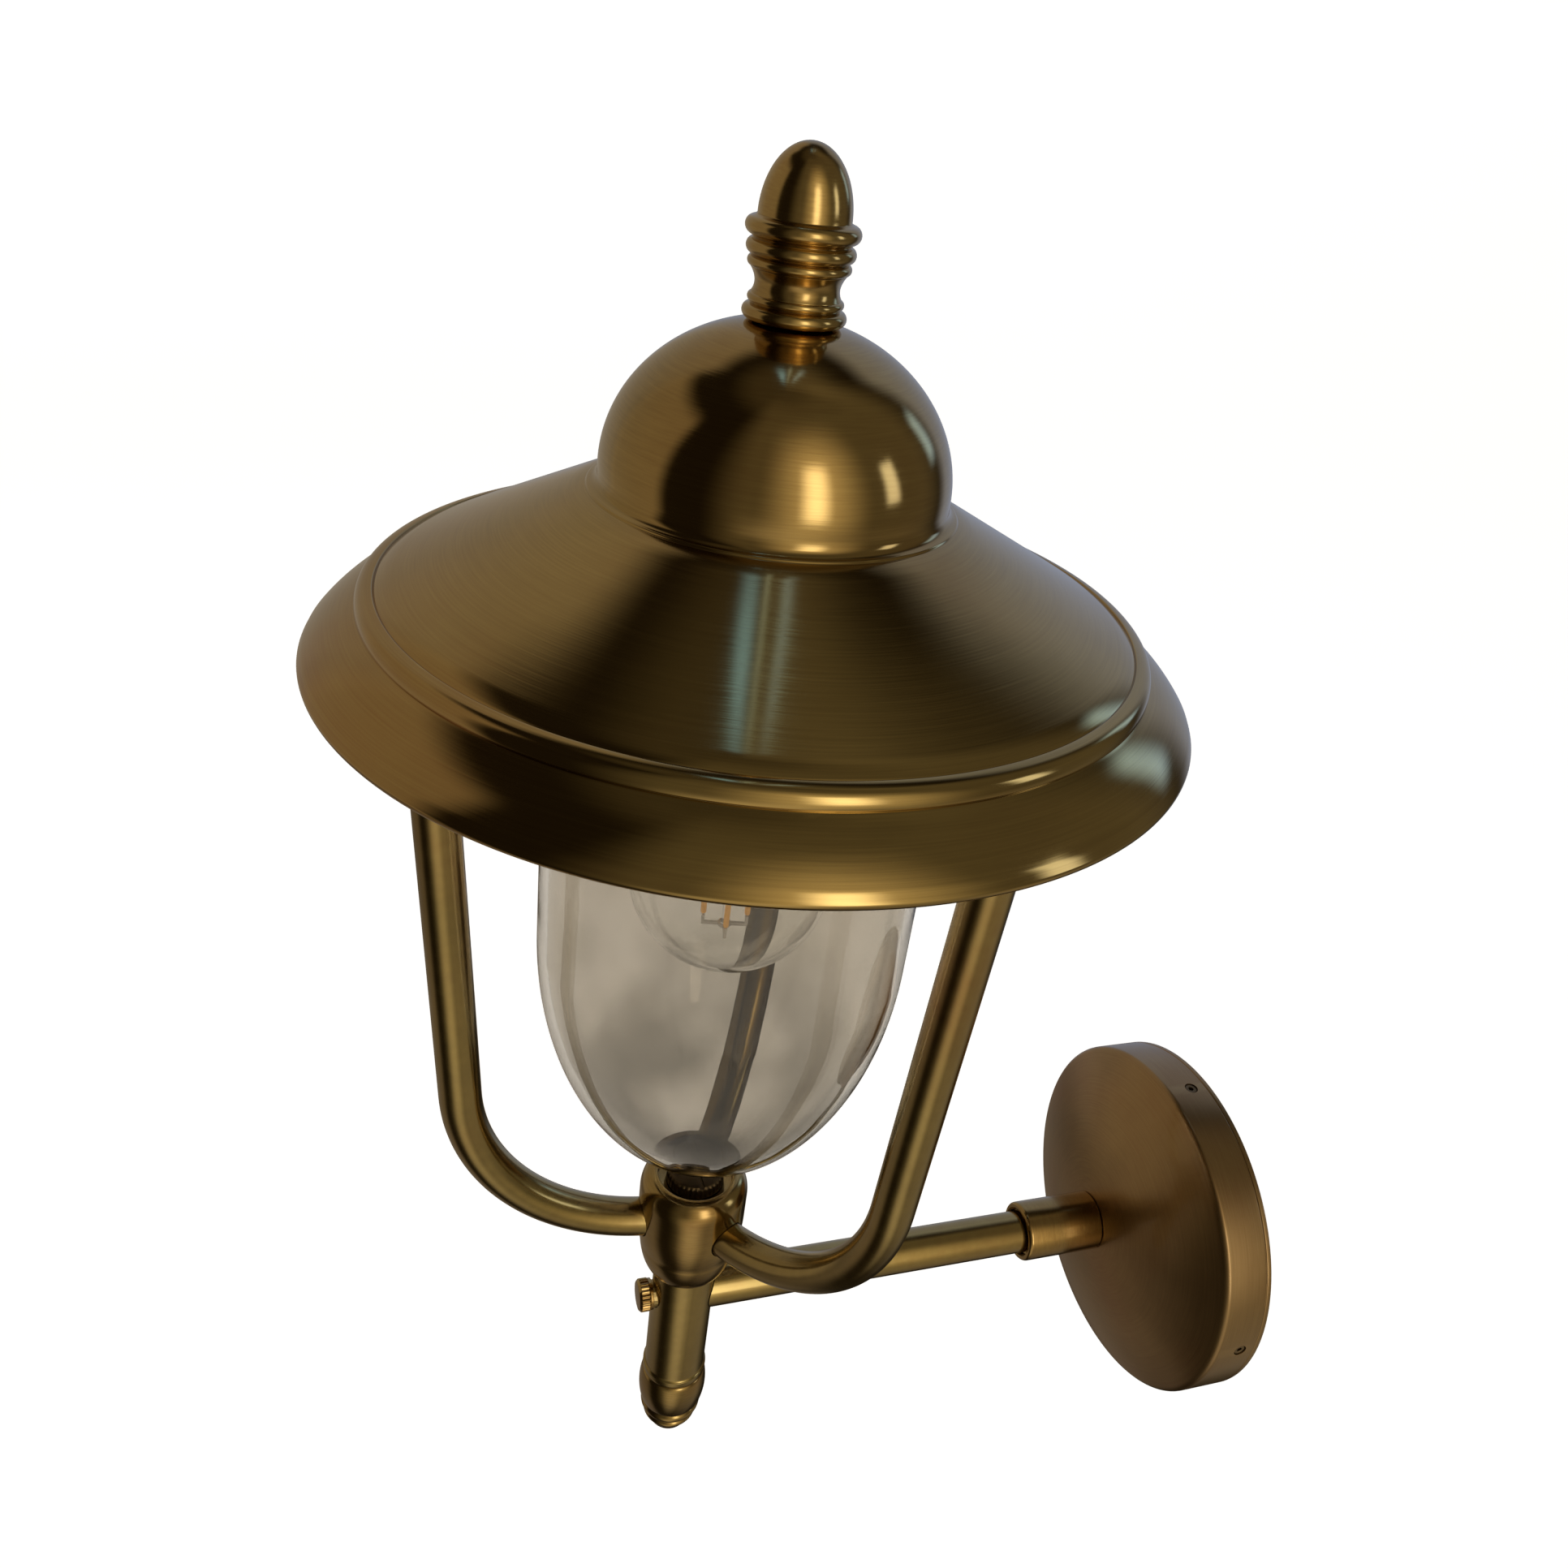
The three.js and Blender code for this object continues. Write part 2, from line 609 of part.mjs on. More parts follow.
// Side of the bulb from its round end up to its neck.
function bulbNeck(inset, steps) {
  const lift = THREE.MathUtils.degToRad(35);
  const r = BULB_R - inset;
  const start = new THREE.Vector2(r * Math.cos(lift), BULB_Z + r * Math.sin(lift));
  const end = new THREE.Vector2(BULB_NECK_R - inset, BULB_COLLAR_Z - GAP);
  const leave = start.clone().add(new THREE.Vector2(-11 * Math.sin(lift), 11 * Math.cos(lift)));
  const arrive = end.clone().add(new THREE.Vector2(0, -13));
  return new THREE.CubicBezierCurve(start, leave, arrive, end).getPoints(steps).map(({ x, y }) => [x, y]);
}

function buildBulbGlass() {
  const wallThick = 0.9;
  return turned(
    [
      [0, BULB_Z - BULB_R],
      ...arc(0, BULB_Z, BULB_R, BULB_R, -90, 35, 10).slice(1),
      ...bulbNeck(0, 5).slice(1),
      ...bulbNeck(wallThick, 5).toReversed(),
      ...arc(0, BULB_Z, BULB_R - wallThick, BULB_R - wallThick, 35, -90, 10).slice(1, -1),
      [0, BULB_Z - BULB_R + wallThick],
    ],
    32,
  );
}

const buildBulbCap = () =>
  turned([
    [0, BULB_COLLAR_Z],
    [13.4, BULB_COLLAR_Z],
    [13.4, -24.6],
    [13.1, -24],
    [13.1, -8],
    [9.4, -5.5],
    [0, -5.5],
  ]);

const buildBulbContact = () =>
  turned([[0, -5.2], [8.6, -5.2], [4.8, -2.2], [2.6, -0.8], [0, -0.8]], 12);

const WIRE_LOW_Z = FILAMENT_END_Z - 3.4;
const WIRE_HIGH_Z = FILAMENT_END_Z + FILAMENT_LENGTH + 0.9;
const STEM_TIP_R = 1.1;

const buildBulbStem = () =>
  turned(
    [
      [0, WIRE_LOW_Z - 1.5],
      [STEM_TIP_R, WIRE_LOW_Z - 1.5],
      [STEM_TIP_R, -50],
      [3.4, -42],
      [7.2, -31],
      [7.2, BULB_COLLAR_Z - GAP],
      [0, BULB_COLLAR_Z - GAP],
    ],
    12,
  );

const FILAMENTS = [257, 347, 77, 167];

// A ring round the stem with one spoke to each filament's end. The lower one's spokes turn up to the
// filaments.
function buildWires(z, rise) {
  const gauge = 0.5;
  const end = FILAMENT_RING_R + gauge;
  const spokes = FILAMENTS.flatMap((azimuth) => [
    turn(box([1.6, end], [-gauge, gauge], [z - gauge, z + gauge]), azimuth),
    turn(box([end - 2 * gauge, end], [-gauge, gauge], [z - gauge, z + gauge + rise]), azimuth),
  ]);
  return join(ring(STEM_TIP_R + GAP, 2.2, z - gauge, z + gauge, 12), ...spokes);
}

addTo(lantern, "post", buildPost(), agedBrass);
addTo(lantern, "bottom_finial", buildBottomFinial(), agedBrass);
addTo(lantern, "hub", buildHub(), agedBrass);
addTo(lantern, "hub_cap", buildHubCap(), agedBrass);
for (const [side, azimuth] of Object.entries(LEG_AZIMUTHS)) {
  addTo(lantern, `lantern_arm_${side}`, turn(buildLeg(), azimuth), agedBrass);
  const nutZ = SPIDER_Z + SPIDER_THICK + GAP;
  const nut = hexNut(15, LEG_NECK_R + GAP, nutZ, nutZ + 4);
  addTo(lantern, `lantern_arm_nut_${side}`, atPolar(nut, { azimuth, r: legTop.x }), innerBrass);
}
addTo(lantern, "spider", buildSpider(), innerBrass);
addTo(lantern, "glass_gallery", buildGallery(), innerBrass);
GALLERY_SCREWS.forEach((place, i) => {
  const screw = panScrew(3.2, SPIDER_Z + SPIDER_THICK + GAP, 2.2, 1.8, 0.8);
  addTo(lantern, `gallery_screw_${i + 1}`, atPolar(screw, place), steel);
});
addTo(lantern, "glass_gasket", ring(45.5, 50.6, -0.3, SPIDER_Z - 2.1, WIDE), rubber);
addTo(lantern, "rod_bridge", buildBridge(), steel);
BRIDGE_SCREWS.forEach((place, i) => {
  const screw = panScrew(3.2, SPIDER_Z + SPIDER_THICK + BRIDGE.thick + 2 * GAP, 2.2, 1.8, 0.8);
  addTo(lantern, `bridge_screw_${i + 1}`, atPolar(screw, place), steel);
});
addTo(lantern, "hood_rod", rod(ROD_R, 15, 106), steel);
addTo(lantern, "rod_nut_holder", hexNut(13, ROD_R + GAP, 15.2, 19.6), steel);
addTo(lantern, "rod_nut_lower", hexNut(13, ROD_R + GAP, 23, 29.7), steel);
addTo(lantern, "rod_nut_upper", hexNut(13, ROD_R + GAP, 32.8, 39.3), steel);
addTo(lantern, "hood_seat_nut", hexNut(13, ROD_R + GAP, 76.4, 82.9), steel);
addTo(lantern, "hood_seat_washer", ring(ROD_R + GAP, 10, 83.2, 84.6), steel);
addTo(lantern, "holder_shell", buildHolderShell(), plastic);
addTo(lantern, "holder_insert", buildHolderInsert(), ceramic);
addTo(lantern, "holder_thread", ring(13.5, 14.2, -20, 2), innerBrass);
addTo(lantern, "holder_contact", buildHolderContact(), innerBrass);
addTo(lantern, "hood", buildHood(), agedBrass);
addTo(lantern, "hood_finial", buildFinial(), agedBrass);
addTo(lantern, "glass_bell", buildGlass(), clearGlass);
addTo(lantern, "bulb_glass", buildBulbGlass(), clearGlass);
addTo(lantern, "bulb_cap", buildBulbCap(), nickel);
addTo(lantern, "bulb_contact", buildBulbContact(), nickel);
addTo(lantern, "bulb_stem", buildBulbStem(), clearGlass);
FILAMENTS.forEach((azimuth, i) => {
  const filament = rod(0.9, FILAMENT_END_Z, FILAMENT_END_Z + FILAMENT_LENGTH, 8);
  addTo(lantern, `filament_${i + 1}`, atPolar(filament, { azimuth, r: FILAMENT_RING_R }), phosphor);
});
addTo(lantern, "filament_wires_lower", buildWires(WIRE_LOW_Z, 2.5), nickel);
addTo(lantern, "filament_wires_upper", buildWires(WIRE_HIGH_Z, 0), nickel);

// Inner lead: from the terminal block through the wall arm and its nipple, up the post and the left lantern
// arm, and across the spider to the lamp holder. Its points are [x, y, z] about the part's own origin.

const alongLeft = (r, z) => {
  const azimuth = THREE.MathUtils.degToRad(LEG_AZIMUTHS.left);
  return [r * Math.cos(azimuth), r * Math.sin(azimuth) - REACH, z + RIM_HEIGHT];
};

function leadPoints() {
  const insideLeg = [0.06, 0.25, 0.5, 0.75, 0.91].map((t) => legCurve.getPoint(t));
  return [
    [0, -8.3, -22.6],
    [0, -8.6, -16],
    [0, -12, -7],
    [0, -20, -1],
    [0, -30, 0],
    [0, -80, 0],
    [0, -140, 0],
    [0, -REACH + 14, 0],
    [0, -REACH + 6.5, 0.2],
    [0, -REACH + 1.4, 3],
    [0, -REACH, 9],
    alongLeft(0, -248),
    alongLeft(0.4, -238),
    alongLeft(3.4, -230),
    ...insideLeg.map((p) => alongLeft(p.x, p.z)),
    ...[-100, -50, -20, 0].map((z) => alongLeft(legTop.x - (LEG_TOP_Z - z) * Math.tan(LEG_LEAN), z)),
    alongLeft(legTop.x, 8),
    alongLeft(legTop.x - 0.3, 13),
    alongLeft(legTop.x - 3.6, 16.6),
    alongLeft(legTop.x - 9, 17.4),
    alongLeft(60, 16.5),
    alongLeft(40, 15.8),
    alongLeft(24, 15.5),
    alongLeft(13, 15.5),
  ].map((p) => new THREE.Vector3(...p));
}

const lead = tubeAlong(new THREE.CatmullRomCurve3(leadPoints(), false, "centripetal"), 64, LEAD_R, 0, 6);

const part = new THREE.Group();
part.add(wall, lantern);
addTo(part, "inner_lead", lead, leadSheath);

export default part;
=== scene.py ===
"""A wall lantern in aged brass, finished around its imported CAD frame.

Outlines are in millimetres, as [radius, height] points about a piece's own axis. The lantern's heights are
measured from the hood's rim, and the wall fitting's from the wall.
"""

import math

import bmesh
import bpy
from mathutils import Matrix, Vector


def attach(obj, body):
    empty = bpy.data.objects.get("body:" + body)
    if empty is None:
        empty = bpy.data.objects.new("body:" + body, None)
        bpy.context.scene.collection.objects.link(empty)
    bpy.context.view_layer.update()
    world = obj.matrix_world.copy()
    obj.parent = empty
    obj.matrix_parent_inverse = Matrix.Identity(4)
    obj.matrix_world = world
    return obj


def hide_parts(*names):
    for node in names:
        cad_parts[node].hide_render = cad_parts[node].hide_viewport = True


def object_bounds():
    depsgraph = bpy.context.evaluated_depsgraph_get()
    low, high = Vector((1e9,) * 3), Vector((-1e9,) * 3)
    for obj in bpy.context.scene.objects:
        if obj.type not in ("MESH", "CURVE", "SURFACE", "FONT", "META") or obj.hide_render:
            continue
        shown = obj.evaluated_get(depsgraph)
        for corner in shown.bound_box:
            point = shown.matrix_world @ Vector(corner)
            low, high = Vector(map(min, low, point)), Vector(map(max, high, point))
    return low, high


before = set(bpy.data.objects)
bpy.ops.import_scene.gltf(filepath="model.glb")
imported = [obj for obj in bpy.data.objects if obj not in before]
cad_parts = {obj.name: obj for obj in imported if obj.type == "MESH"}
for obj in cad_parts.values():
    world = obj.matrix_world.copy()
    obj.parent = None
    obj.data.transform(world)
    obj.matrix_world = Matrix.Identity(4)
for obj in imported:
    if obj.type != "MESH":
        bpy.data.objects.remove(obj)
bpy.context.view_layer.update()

# Driving dimensions, the same as the CAD part's
GAP = 0.3
REACH = 213.0
RIM_HEIGHT = 268.5
HOOD_R = 120.0
HOOD_WALL = 1.2
HOOD_RIM_Z = -2.7
DOME_R = 45.8
DOME_RISE = 39.8
DOME_Z = 47.5
POST_R = 11.6
POST_BORE_R = 9.0
POST_TOP_Z = -253.7
POST_END_Z = -312.4
POST_SPIGOT_R = 10.3  # its reduced top end, inside the hub
HUB_SOCKET_R = 10.6
ARM_R = 8.3
ARM_BORE_R = 7.0
NIPPLE_R = 5.0
PLATE_R = 70.0
PLATE_DEPTH = 20.0
PLATE_RISE = 18.0
PLATE_WALL = 1.4
PLATE_SCREW_Z = 9.0
PLATE_HOLE_R = 2.6
LEG_R = 6.75
LEG_BORE_R = 5.25
LEG_BEND_R = 74.0
LEG_LEAN = math.radians(3)
LEG_BEND = math.radians(77)
LEG_BEND_START = (81.3, -155.5)
LEG_TOP_Z = 3.0
LEG_NECK_R = 4.9
LEG_AZIMUTHS = {"front": -90, "right": 30, "left": 150}
HUB_TOP = -205.5
HUB_BOTTOM = -253.4
HUB_R = 19.3
HUB_BORE = 9.0
HUB_RECESS = 13.4
HUB_FLOOR = -209.2
ROD_R = 4.0
SPIDER_Z = 3.8
GLASS_R = 57.8
GLASS_RISE = 89.4
GLASS_Z = -100.0
GLASS_WALL = 3.0
GLASS_NECK_R = 51.0
BULB_R = 31.2
BULB_Z = -75.0
BULB_NECK_R = 13.0
BULB_COLLAR_Z = -27.0
BULB_WALL = 0.9
FILAMENT_RING_R = 6.9
FILAMENT_END_Z = -91.8
FILAMENT_LENGTH = 36.0
FILAMENT_AZIMUTHS = (257, 347, 77, 167)

MM = 0.001
FINE = 160  # segments round a large turned piece
SMALL = 72  # segments round a small one
CREASE = math.radians(38)  # edges sharper than this stay sharp
CORNER = math.radians(28)  # corners of an outline sharper than this are rounded

LANTERN = Matrix.Translation((0, -REACH * MM, RIM_HEIGHT * MM))
WALL = Matrix.Rotation(math.pi / 2, 4, "X")  # its own Z points out from the wall


# Shapes


def arc(r, z, radius_r, radius_z, start, end, steps):
    """Points of an arc or a part of an ellipse, from one angle to another in degrees."""
    angles = [math.radians(start + (end - start) * i / steps) for i in range(steps + 1)]
    return [(r + radius_r * math.cos(a), z + radius_z * math.sin(a)) for a in angles]


def sweep(start, pull, end, steps):
    """Points of a smooth curve from one point to another, pulled towards a third."""
    points = []
    for i in range(steps + 1):
        t = i / steps
        weights = ((1 - t) ** 2, 2 * t * (1 - t), t * t)
        points.append(tuple(sum(w * p[k] for w, p in zip(weights, (start, pull, end))) for k in (0, 1)))
    return points


def bead(widest, middle, half, steps=10):
    """A half-round bead, followed upwards."""
    return arc(widest - half, middle, half, half, -80, 80, steps)


def rounded(outline, radius, closed=True):
    """The outline with each sharp corner off the axis turned into a small round."""
    points = [Vector(p) for p in outline]
    made = []
    for i, point in enumerate(points):
        before = points[i - 1]
        after = points[(i + 1) % len(points)]
        at_end = not closed and i in (0, len(points) - 1)
        arrive = point - before
        leave = after - point
        has_sides = not at_end and arrive.length > 0 and leave.length > 0
        sharp = has_sides and arrive.angle(leave) > CORNER
        if not sharp or point.x == 0:
            made.append(tuple(point))
            continue
        back = point - arrive.normalized() * min(radius, 0.4 * arrive.length)
        ahead = point + leave.normalized() * min(radius, 0.4 * leave.length)
        made += sweep(back, point, ahead, 3)
    return made


def as_object(name, bm, place):
    """A new object from the mesh being built, shaded smooth with its sharp edges kept."""
    bmesh.ops.recalc_face_normals(bm, faces=bm.faces)
    mesh = bpy.data.meshes.new(name)
    bm.to_mesh(mesh)
    bm.free()
    mesh.shade_smooth()
    mesh.set_sharp_from_angle(angle=CREASE)
    made = bpy.data.objects.new(name, mesh)
    bpy.context.scene.collection.objects.link(made)
    made.matrix_world = place
    return made


def turned(name, outline, place=LANTERN, segments=SMALL, corner=0.35, ribs=None):
    """Turns an outline about its own Z axis. The outline starts and ends on the axis, or is closed here.
    ribs is (count, depth, lowest, highest), the band that is knurled."""
    on_axis = outline[0][0] == 0
    points = rounded(outline, corner, closed=not on_axis)
    bm = bmesh.new()
    rings = []
    for r, z in points:
        if r == 0:
            rings.append([bm.verts.new((0, 0, z * MM))] * segments)
            continue
        ring = []
        for i in range(segments):
            angle = 2 * math.pi * i / segments
            depth = 0
            if ribs and ribs[2] < z < ribs[3]:
                depth = ribs[1] * (0.5 - 0.5 * math.cos(ribs[0] * angle))
            reach = (r - depth) * MM
            ring.append(bm.verts.new((reach * math.cos(angle), reach * math.sin(angle), z * MM)))
        rings.append(ring)
    pairs = list(zip(rings, rings[1:]))
    if not on_axis:
        pairs.append((rings[-1], rings[0]))
    for low, high in pairs:
        for i in range(segments):
            j = (i + 1) % segments
            corners = list(dict.fromkeys((low[i], low[j], high[j], high[i])))
            if len(corners) > 2:
                bm.faces.new(corners)
    return as_object(name, bm, place)


def cut(piece, tool):
    """Takes the tool's shape out of the piece, and removes the tool."""
    modifier = piece.modifiers.new("cut", "BOOLEAN")
    modifier.operation = "DIFFERENCE"
    modifier.solver = "EXACT"
    modifier.object = tool
    bpy.context.view_layer.update()
    evaluated = piece.evaluated_get(bpy.context.evaluated_depsgraph_get())
    mesh = bpy.data.meshes.new_from_object(evaluated)
    piece.modifiers.clear()
    piece.data = mesh
    mesh.shade_smooth()
    mesh.set_sharp_from_angle(angle=CREASE)
    bpy.data.objects.remove(tool)
    return piece


def rod_tool(radius, low, high, place, segments=64):
    """A round bar to cut with."""
    return turned("tool", [(0, low), (radius, low), (radius, high), (0, high)], place, segments, corner=0)


def box_tool(size, place):
    """A block to cut with, about the middle of its place."""
    bm = bmesh.new()
    bmesh.ops.create_cube(bm, size=MM)
    bmesh.ops.scale(bm, vec=size, verts=bm.verts)
    return as_object("tool", bm, place)


def ring_outline(inner, outer, low, high):
    """The outline of a plain tube."""
    return [(inner, low), (outer, low), (outer, high), (inner, high)]


# Finishes


class Shader:
    """Adds nodes to one node tree. An input is a value or another node's socket."""

    def __init__(self, tree):
        self.tree = tree
        tree.nodes.clear()

    def node(self, kind, inputs=None, **settings):
        made = self.tree.nodes.new(kind)
        for key, value in settings.items():
            setattr(made, key, value)
        for key, value in (inputs or {}).items():
            if isinstance(value, bpy.types.NodeSocket):
                self.tree.links.new(value, made.inputs[key])
            else:
                made.inputs[key].default_value = value
        return made

    def math(self, operation, a, b=0.0, clamp=False):
        return self.node("ShaderNodeMath", {0: a, 1: b}, operation=operation, use_clamp=clamp).outputs[0]

    def dot(self, a, b):
        return self.node("ShaderNodeVectorMath", {0: a, 1: b}, operation="DOT_PRODUCT").outputs["Value"]

    def spread(self, value, low, high, smooth=False):
        """Maps a value from low..high to 0..1."""
        kind = "SMOOTHSTEP" if smooth else "LINEAR"
        inputs = {"Value": value, "From Min": low, "From Max": high}
        return self.node("ShaderNodeMapRange", inputs, interpolation_type=kind).outputs[0]

    def between(self, value, low, high):
        """Maps a value from 0..1 to low..high."""
        return self.node("ShaderNodeMapRange", {"Value": value, "To Min": low, "To Max": high}).outputs[0]

    def mix(self, factor, a, b):
        return self.node("ShaderNodeMix", {0: factor, 6: a, 7: b}, data_type="RGBA").outputs[2]

    def noise(self, vector, scale, detail=3.0, **more):
        inputs = {"Vector": vector, "Scale": scale, "Detail": detail}
        return self.node("ShaderNodeTexNoise", {**inputs, **more.pop("inputs", {})}, **more).outputs[0]

    def bump(self, height, distance, strength=1.0, normal=None):
        inputs = {"Height": height, "Distance": distance, "Strength": strength}
        if normal:
            inputs["Normal"] = normal
        return self.node("ShaderNodeBump", inputs).outputs[0]


def material(name):
    """A new material with its shader helper and its main shader."""
    made = bpy.data.materials.new(name)
    made.use_nodes = True
    shader = Shader(made.node_tree)
    surface = shader.node("ShaderNodeBsdfPrincipled")
    output = shader.node("ShaderNodeOutputMaterial")
    made.node_tree.links.new(surface.outputs[0], output.inputs[0])
    return made, shader, surface


def link(shader, socket, surface, name):
    shader.tree.links.new(socket, surface.inputs[name])


def brush_marks(shader, place, lines):
    """Fine lines that run round the piece's own Z axis, without a seam. lines is how many go to a metre."""
    parts = shader.node("ShaderNodeSeparateXYZ", {0: place})
    flat = shader.node("ShaderNodeCombineXYZ", {0: parts.outputs[0], 1: parts.outputs[1]}).outputs[0]
    radius = shader.node("ShaderNodeVectorMath", {0: flat}, operation="LENGTH").outputs["Value"]
    unit = shader.node("ShaderNodeVectorMath", {0: flat}, operation="NORMALIZE").outputs[0]
    unit_parts = shader.node("ShaderNodeSeparateXYZ", {0: unit})
    height = shader.math("MULTIPLY", parts.outputs[2], lines)
    arc_length = [shader.math("MULTIPLY", unit_parts.outputs[k], 3.0) for k in (0, 1)]
    across = shader.node("ShaderNodeCombineXYZ", {0: arc_length[0], 1: arc_length[1], 2: height}).outputs[0]
    more = {"W": shader.math("MULTIPLY", radius, lines)}
    return shader.noise(across, 1.0, 4.0, inputs=more, noise_dimensions="4D")


def aged_brass(name, gold, brown, roughness, brushed=True, anisotropy=0.45, patina=16.0, lacquer=0.35):
    """Brass with a brown patina under clear lacquer: cloudy colour, brush marks, ridges painted brighter as
    a painted highlight with some rubbed wear, and hollows painted darker as painted shade with some grime."""
    made, shader, surface = material(name)
    surface.inputs["Metallic"].default_value = 1.0
    surface.inputs["Coat Weight"].default_value = lacquer
    surface.inputs["Coat Roughness"].default_value = 0.07
    place = shader.node("ShaderNodeTexCoord").outputs["Object"]
    cloud = shader.noise(place, patina, 5.0)
    grain = shader.noise(place, 900.0, 2.0)
    marks = brush_marks(shader, place, 1900.0) if brushed else shader.noise(place, 260.0, 4.0)
    edges = shader.node("ShaderNodeNewGeometry").outputs["Pointiness"]
    # Pointiness paints the colour: a painted highlight on ridges, partly rubbed wear, and painted shade in
    # hollows, partly grime.
    ridge_wear_and_highlight = shader.spread(edges, 0.51, 0.60)
    hollow_grime_and_shade = shader.spread(edges, 0.49, 0.42)
    tone = shader.math("ADD", shader.spread(cloud, 0.25, 0.78), shader.between(marks, -0.45, 0.45))
    tone = shader.math("ADD", tone, shader.between(ridge_wear_and_highlight, 0.0, 0.5))
    tone = shader.math("SUBTRACT", tone, shader.between(hollow_grime_and_shade, 0.0, 0.8), clamp=True)
    # Painted shade, partly grime: hollows darkened down to 0.35 of their colour.
    grime_and_shade = shader.between(hollow_grime_and_shade, 1.0, 0.35)
    stain = shader.noise(place, 0.6 * patina, 3.0, inputs={"Distortion": 0.6})
    warm = (brown[0] * 1.25, brown[1] * 0.95, brown[2] * 0.9, 1)
    patina_brown = shader.mix(shader.spread(stain, 0.42, 0.66), brown, warm)
    metal = shader.mix(tone, patina_brown, gold)
    shaded = shader.node("ShaderNodeVectorMath", {0: metal, "Scale": grime_and_shade}, operation="SCALE").outputs[0]
    link(shader, shaded, surface, "Base Color")
    brushed_rough = shader.between(marks, roughness - 0.03, roughness + 0.05)
    rough = shader.math("ADD", brushed_rough, shader.between(grain, -0.01, 0.02))
    link(shader, rough, surface, "Roughness")
    normal = shader.bump(marks, 0.00002, 0.5)
    link(shader, shader.bump(cloud, 0.0006, 0.12, normal), surface, "Normal")
    if brushed:
        surface.inputs["Anisotropic"].default_value = anisotropy
        surface.inputs["Anisotropic Rotation"].default_value = 0.25
        tangent = shader.node("ShaderNodeTangent", direction_type="RADIAL", axis="Z").outputs[0]
        link(shader, tangent, surface, "Tangent")
    return made


def plated(name, light, dark, roughness, metallic=1.0):
    """A plain metal such as zinc plate or nickel, with faint blotches and scratches."""
    made, shader, surface = material(name)
    surface.inputs["Metallic"].default_value = metallic
    place = shader.node("ShaderNodeTexCoord").outputs["Object"]
    blotch = shader.noise(place, 60.0, 5.0)
    scratch = shader.noise(place, 600.0, 3.0, inputs={"Distortion": 1.5})
    link(shader, shader.mix(blotch, dark, light), surface, "Base Color")
    link(shader, shader.between(scratch, roughness - 0.08, roughness + 0.14), surface, "Roughness")
    link(shader, shader.bump(scratch, 0.00005, 0.5), surface, "Normal")
    return made


def moulded(name, light, dark, roughness, grain=500.0, depth=0.00008):
    """A matt material such as moulded plastic, porcelain, rubber or cable sheath."""
    made, shader, surface = material(name)
    place = shader.node("ShaderNodeTexCoord").outputs["Object"]
    blotch = shader.noise(place, 45.0, 4.0)
    fine = shader.noise(place, grain, 3.0)
    link(shader, shader.mix(blotch, dark, light), surface, "Base Color")
    link(shader, shader.between(fine, roughness - 0.06, roughness + 0.08), surface, "Roughness")
    link(shader, shader.bump(fine, depth, 0.5), surface, "Normal")
    return made


def blown_glass(name, clear, darker_tint, waviness, reflection_heights=None):
    """Clear glass with a tint, slow waves in its surface and a trace of dust. bowl is (lowest, highest), the
    heights in millimetres between which the glass's round end is painted darker in patches, as a painted
    dark reflection of the room."""
    made, shader, surface = material(name)
    surface.inputs["Transmission Weight"].default_value = 1.0
    surface.inputs["IOR"].default_value = 1.45
    place = shader.node("ShaderNodeTexCoord").outputs["Object"]
    wave = shader.noise(place, 22.0, 2.0)
    dust = shader.noise(place, 140.0, 4.0)
    tint = shader.mix(shader.spread(wave, 0.3, 0.7), darker_tint, clear)
    # Painted dark reflection: the glass's round end is tinted darker in patches between these heights.
    if reflection_heights:
        height = shader.node("ShaderNodeSeparateXYZ", {0: place}).outputs[2]
        reflection_band = shader.spread(height, reflection_heights[1] * MM, reflection_heights[0] * MM, smooth=True)
        patchy_reflection = shader.math("MULTIPLY", reflection_band, shader.spread(wave, 0.72, 0.42))
        tint = shader.mix(patchy_reflection, tint, tuple(0.42 * c for c in darker_tint[:3]) + (1,))
    link(shader, tint, surface, "Base Color")
    link(shader, shader.between(shader.spread(dust, 0.5, 0.8), 0.0, 0.035), surface, "Roughness")
    link(shader, shader.bump(wave, waviness, 0.35), surface, "Normal")
    return made


def phosphor_coat(name):
    """The yellow coating of an unlit LED filament, with a faint painted glow."""
    made, shader, surface = material(name)
    place = shader.node("ShaderNodeTexCoord").outputs["Object"]
    speck = shader.noise(place, 900.0, 3.0)
    link(shader, shader.mix(speck, (0.80, 0.36, 0.06, 1), (0.95, 0.55, 0.13, 1)), surface, "Base Color")
    link(shader, shader.between(speck, 0.4, 0.6), surface, "Roughness")
    # Painted glow: the filament is unlit, yet it has a weak orange emission.
    surface.inputs["Emission Color"].default_value = (1.0, 0.5, 0.1, 1)
    surface.inputs["Emission Strength"].default_value = 0.25
    return made
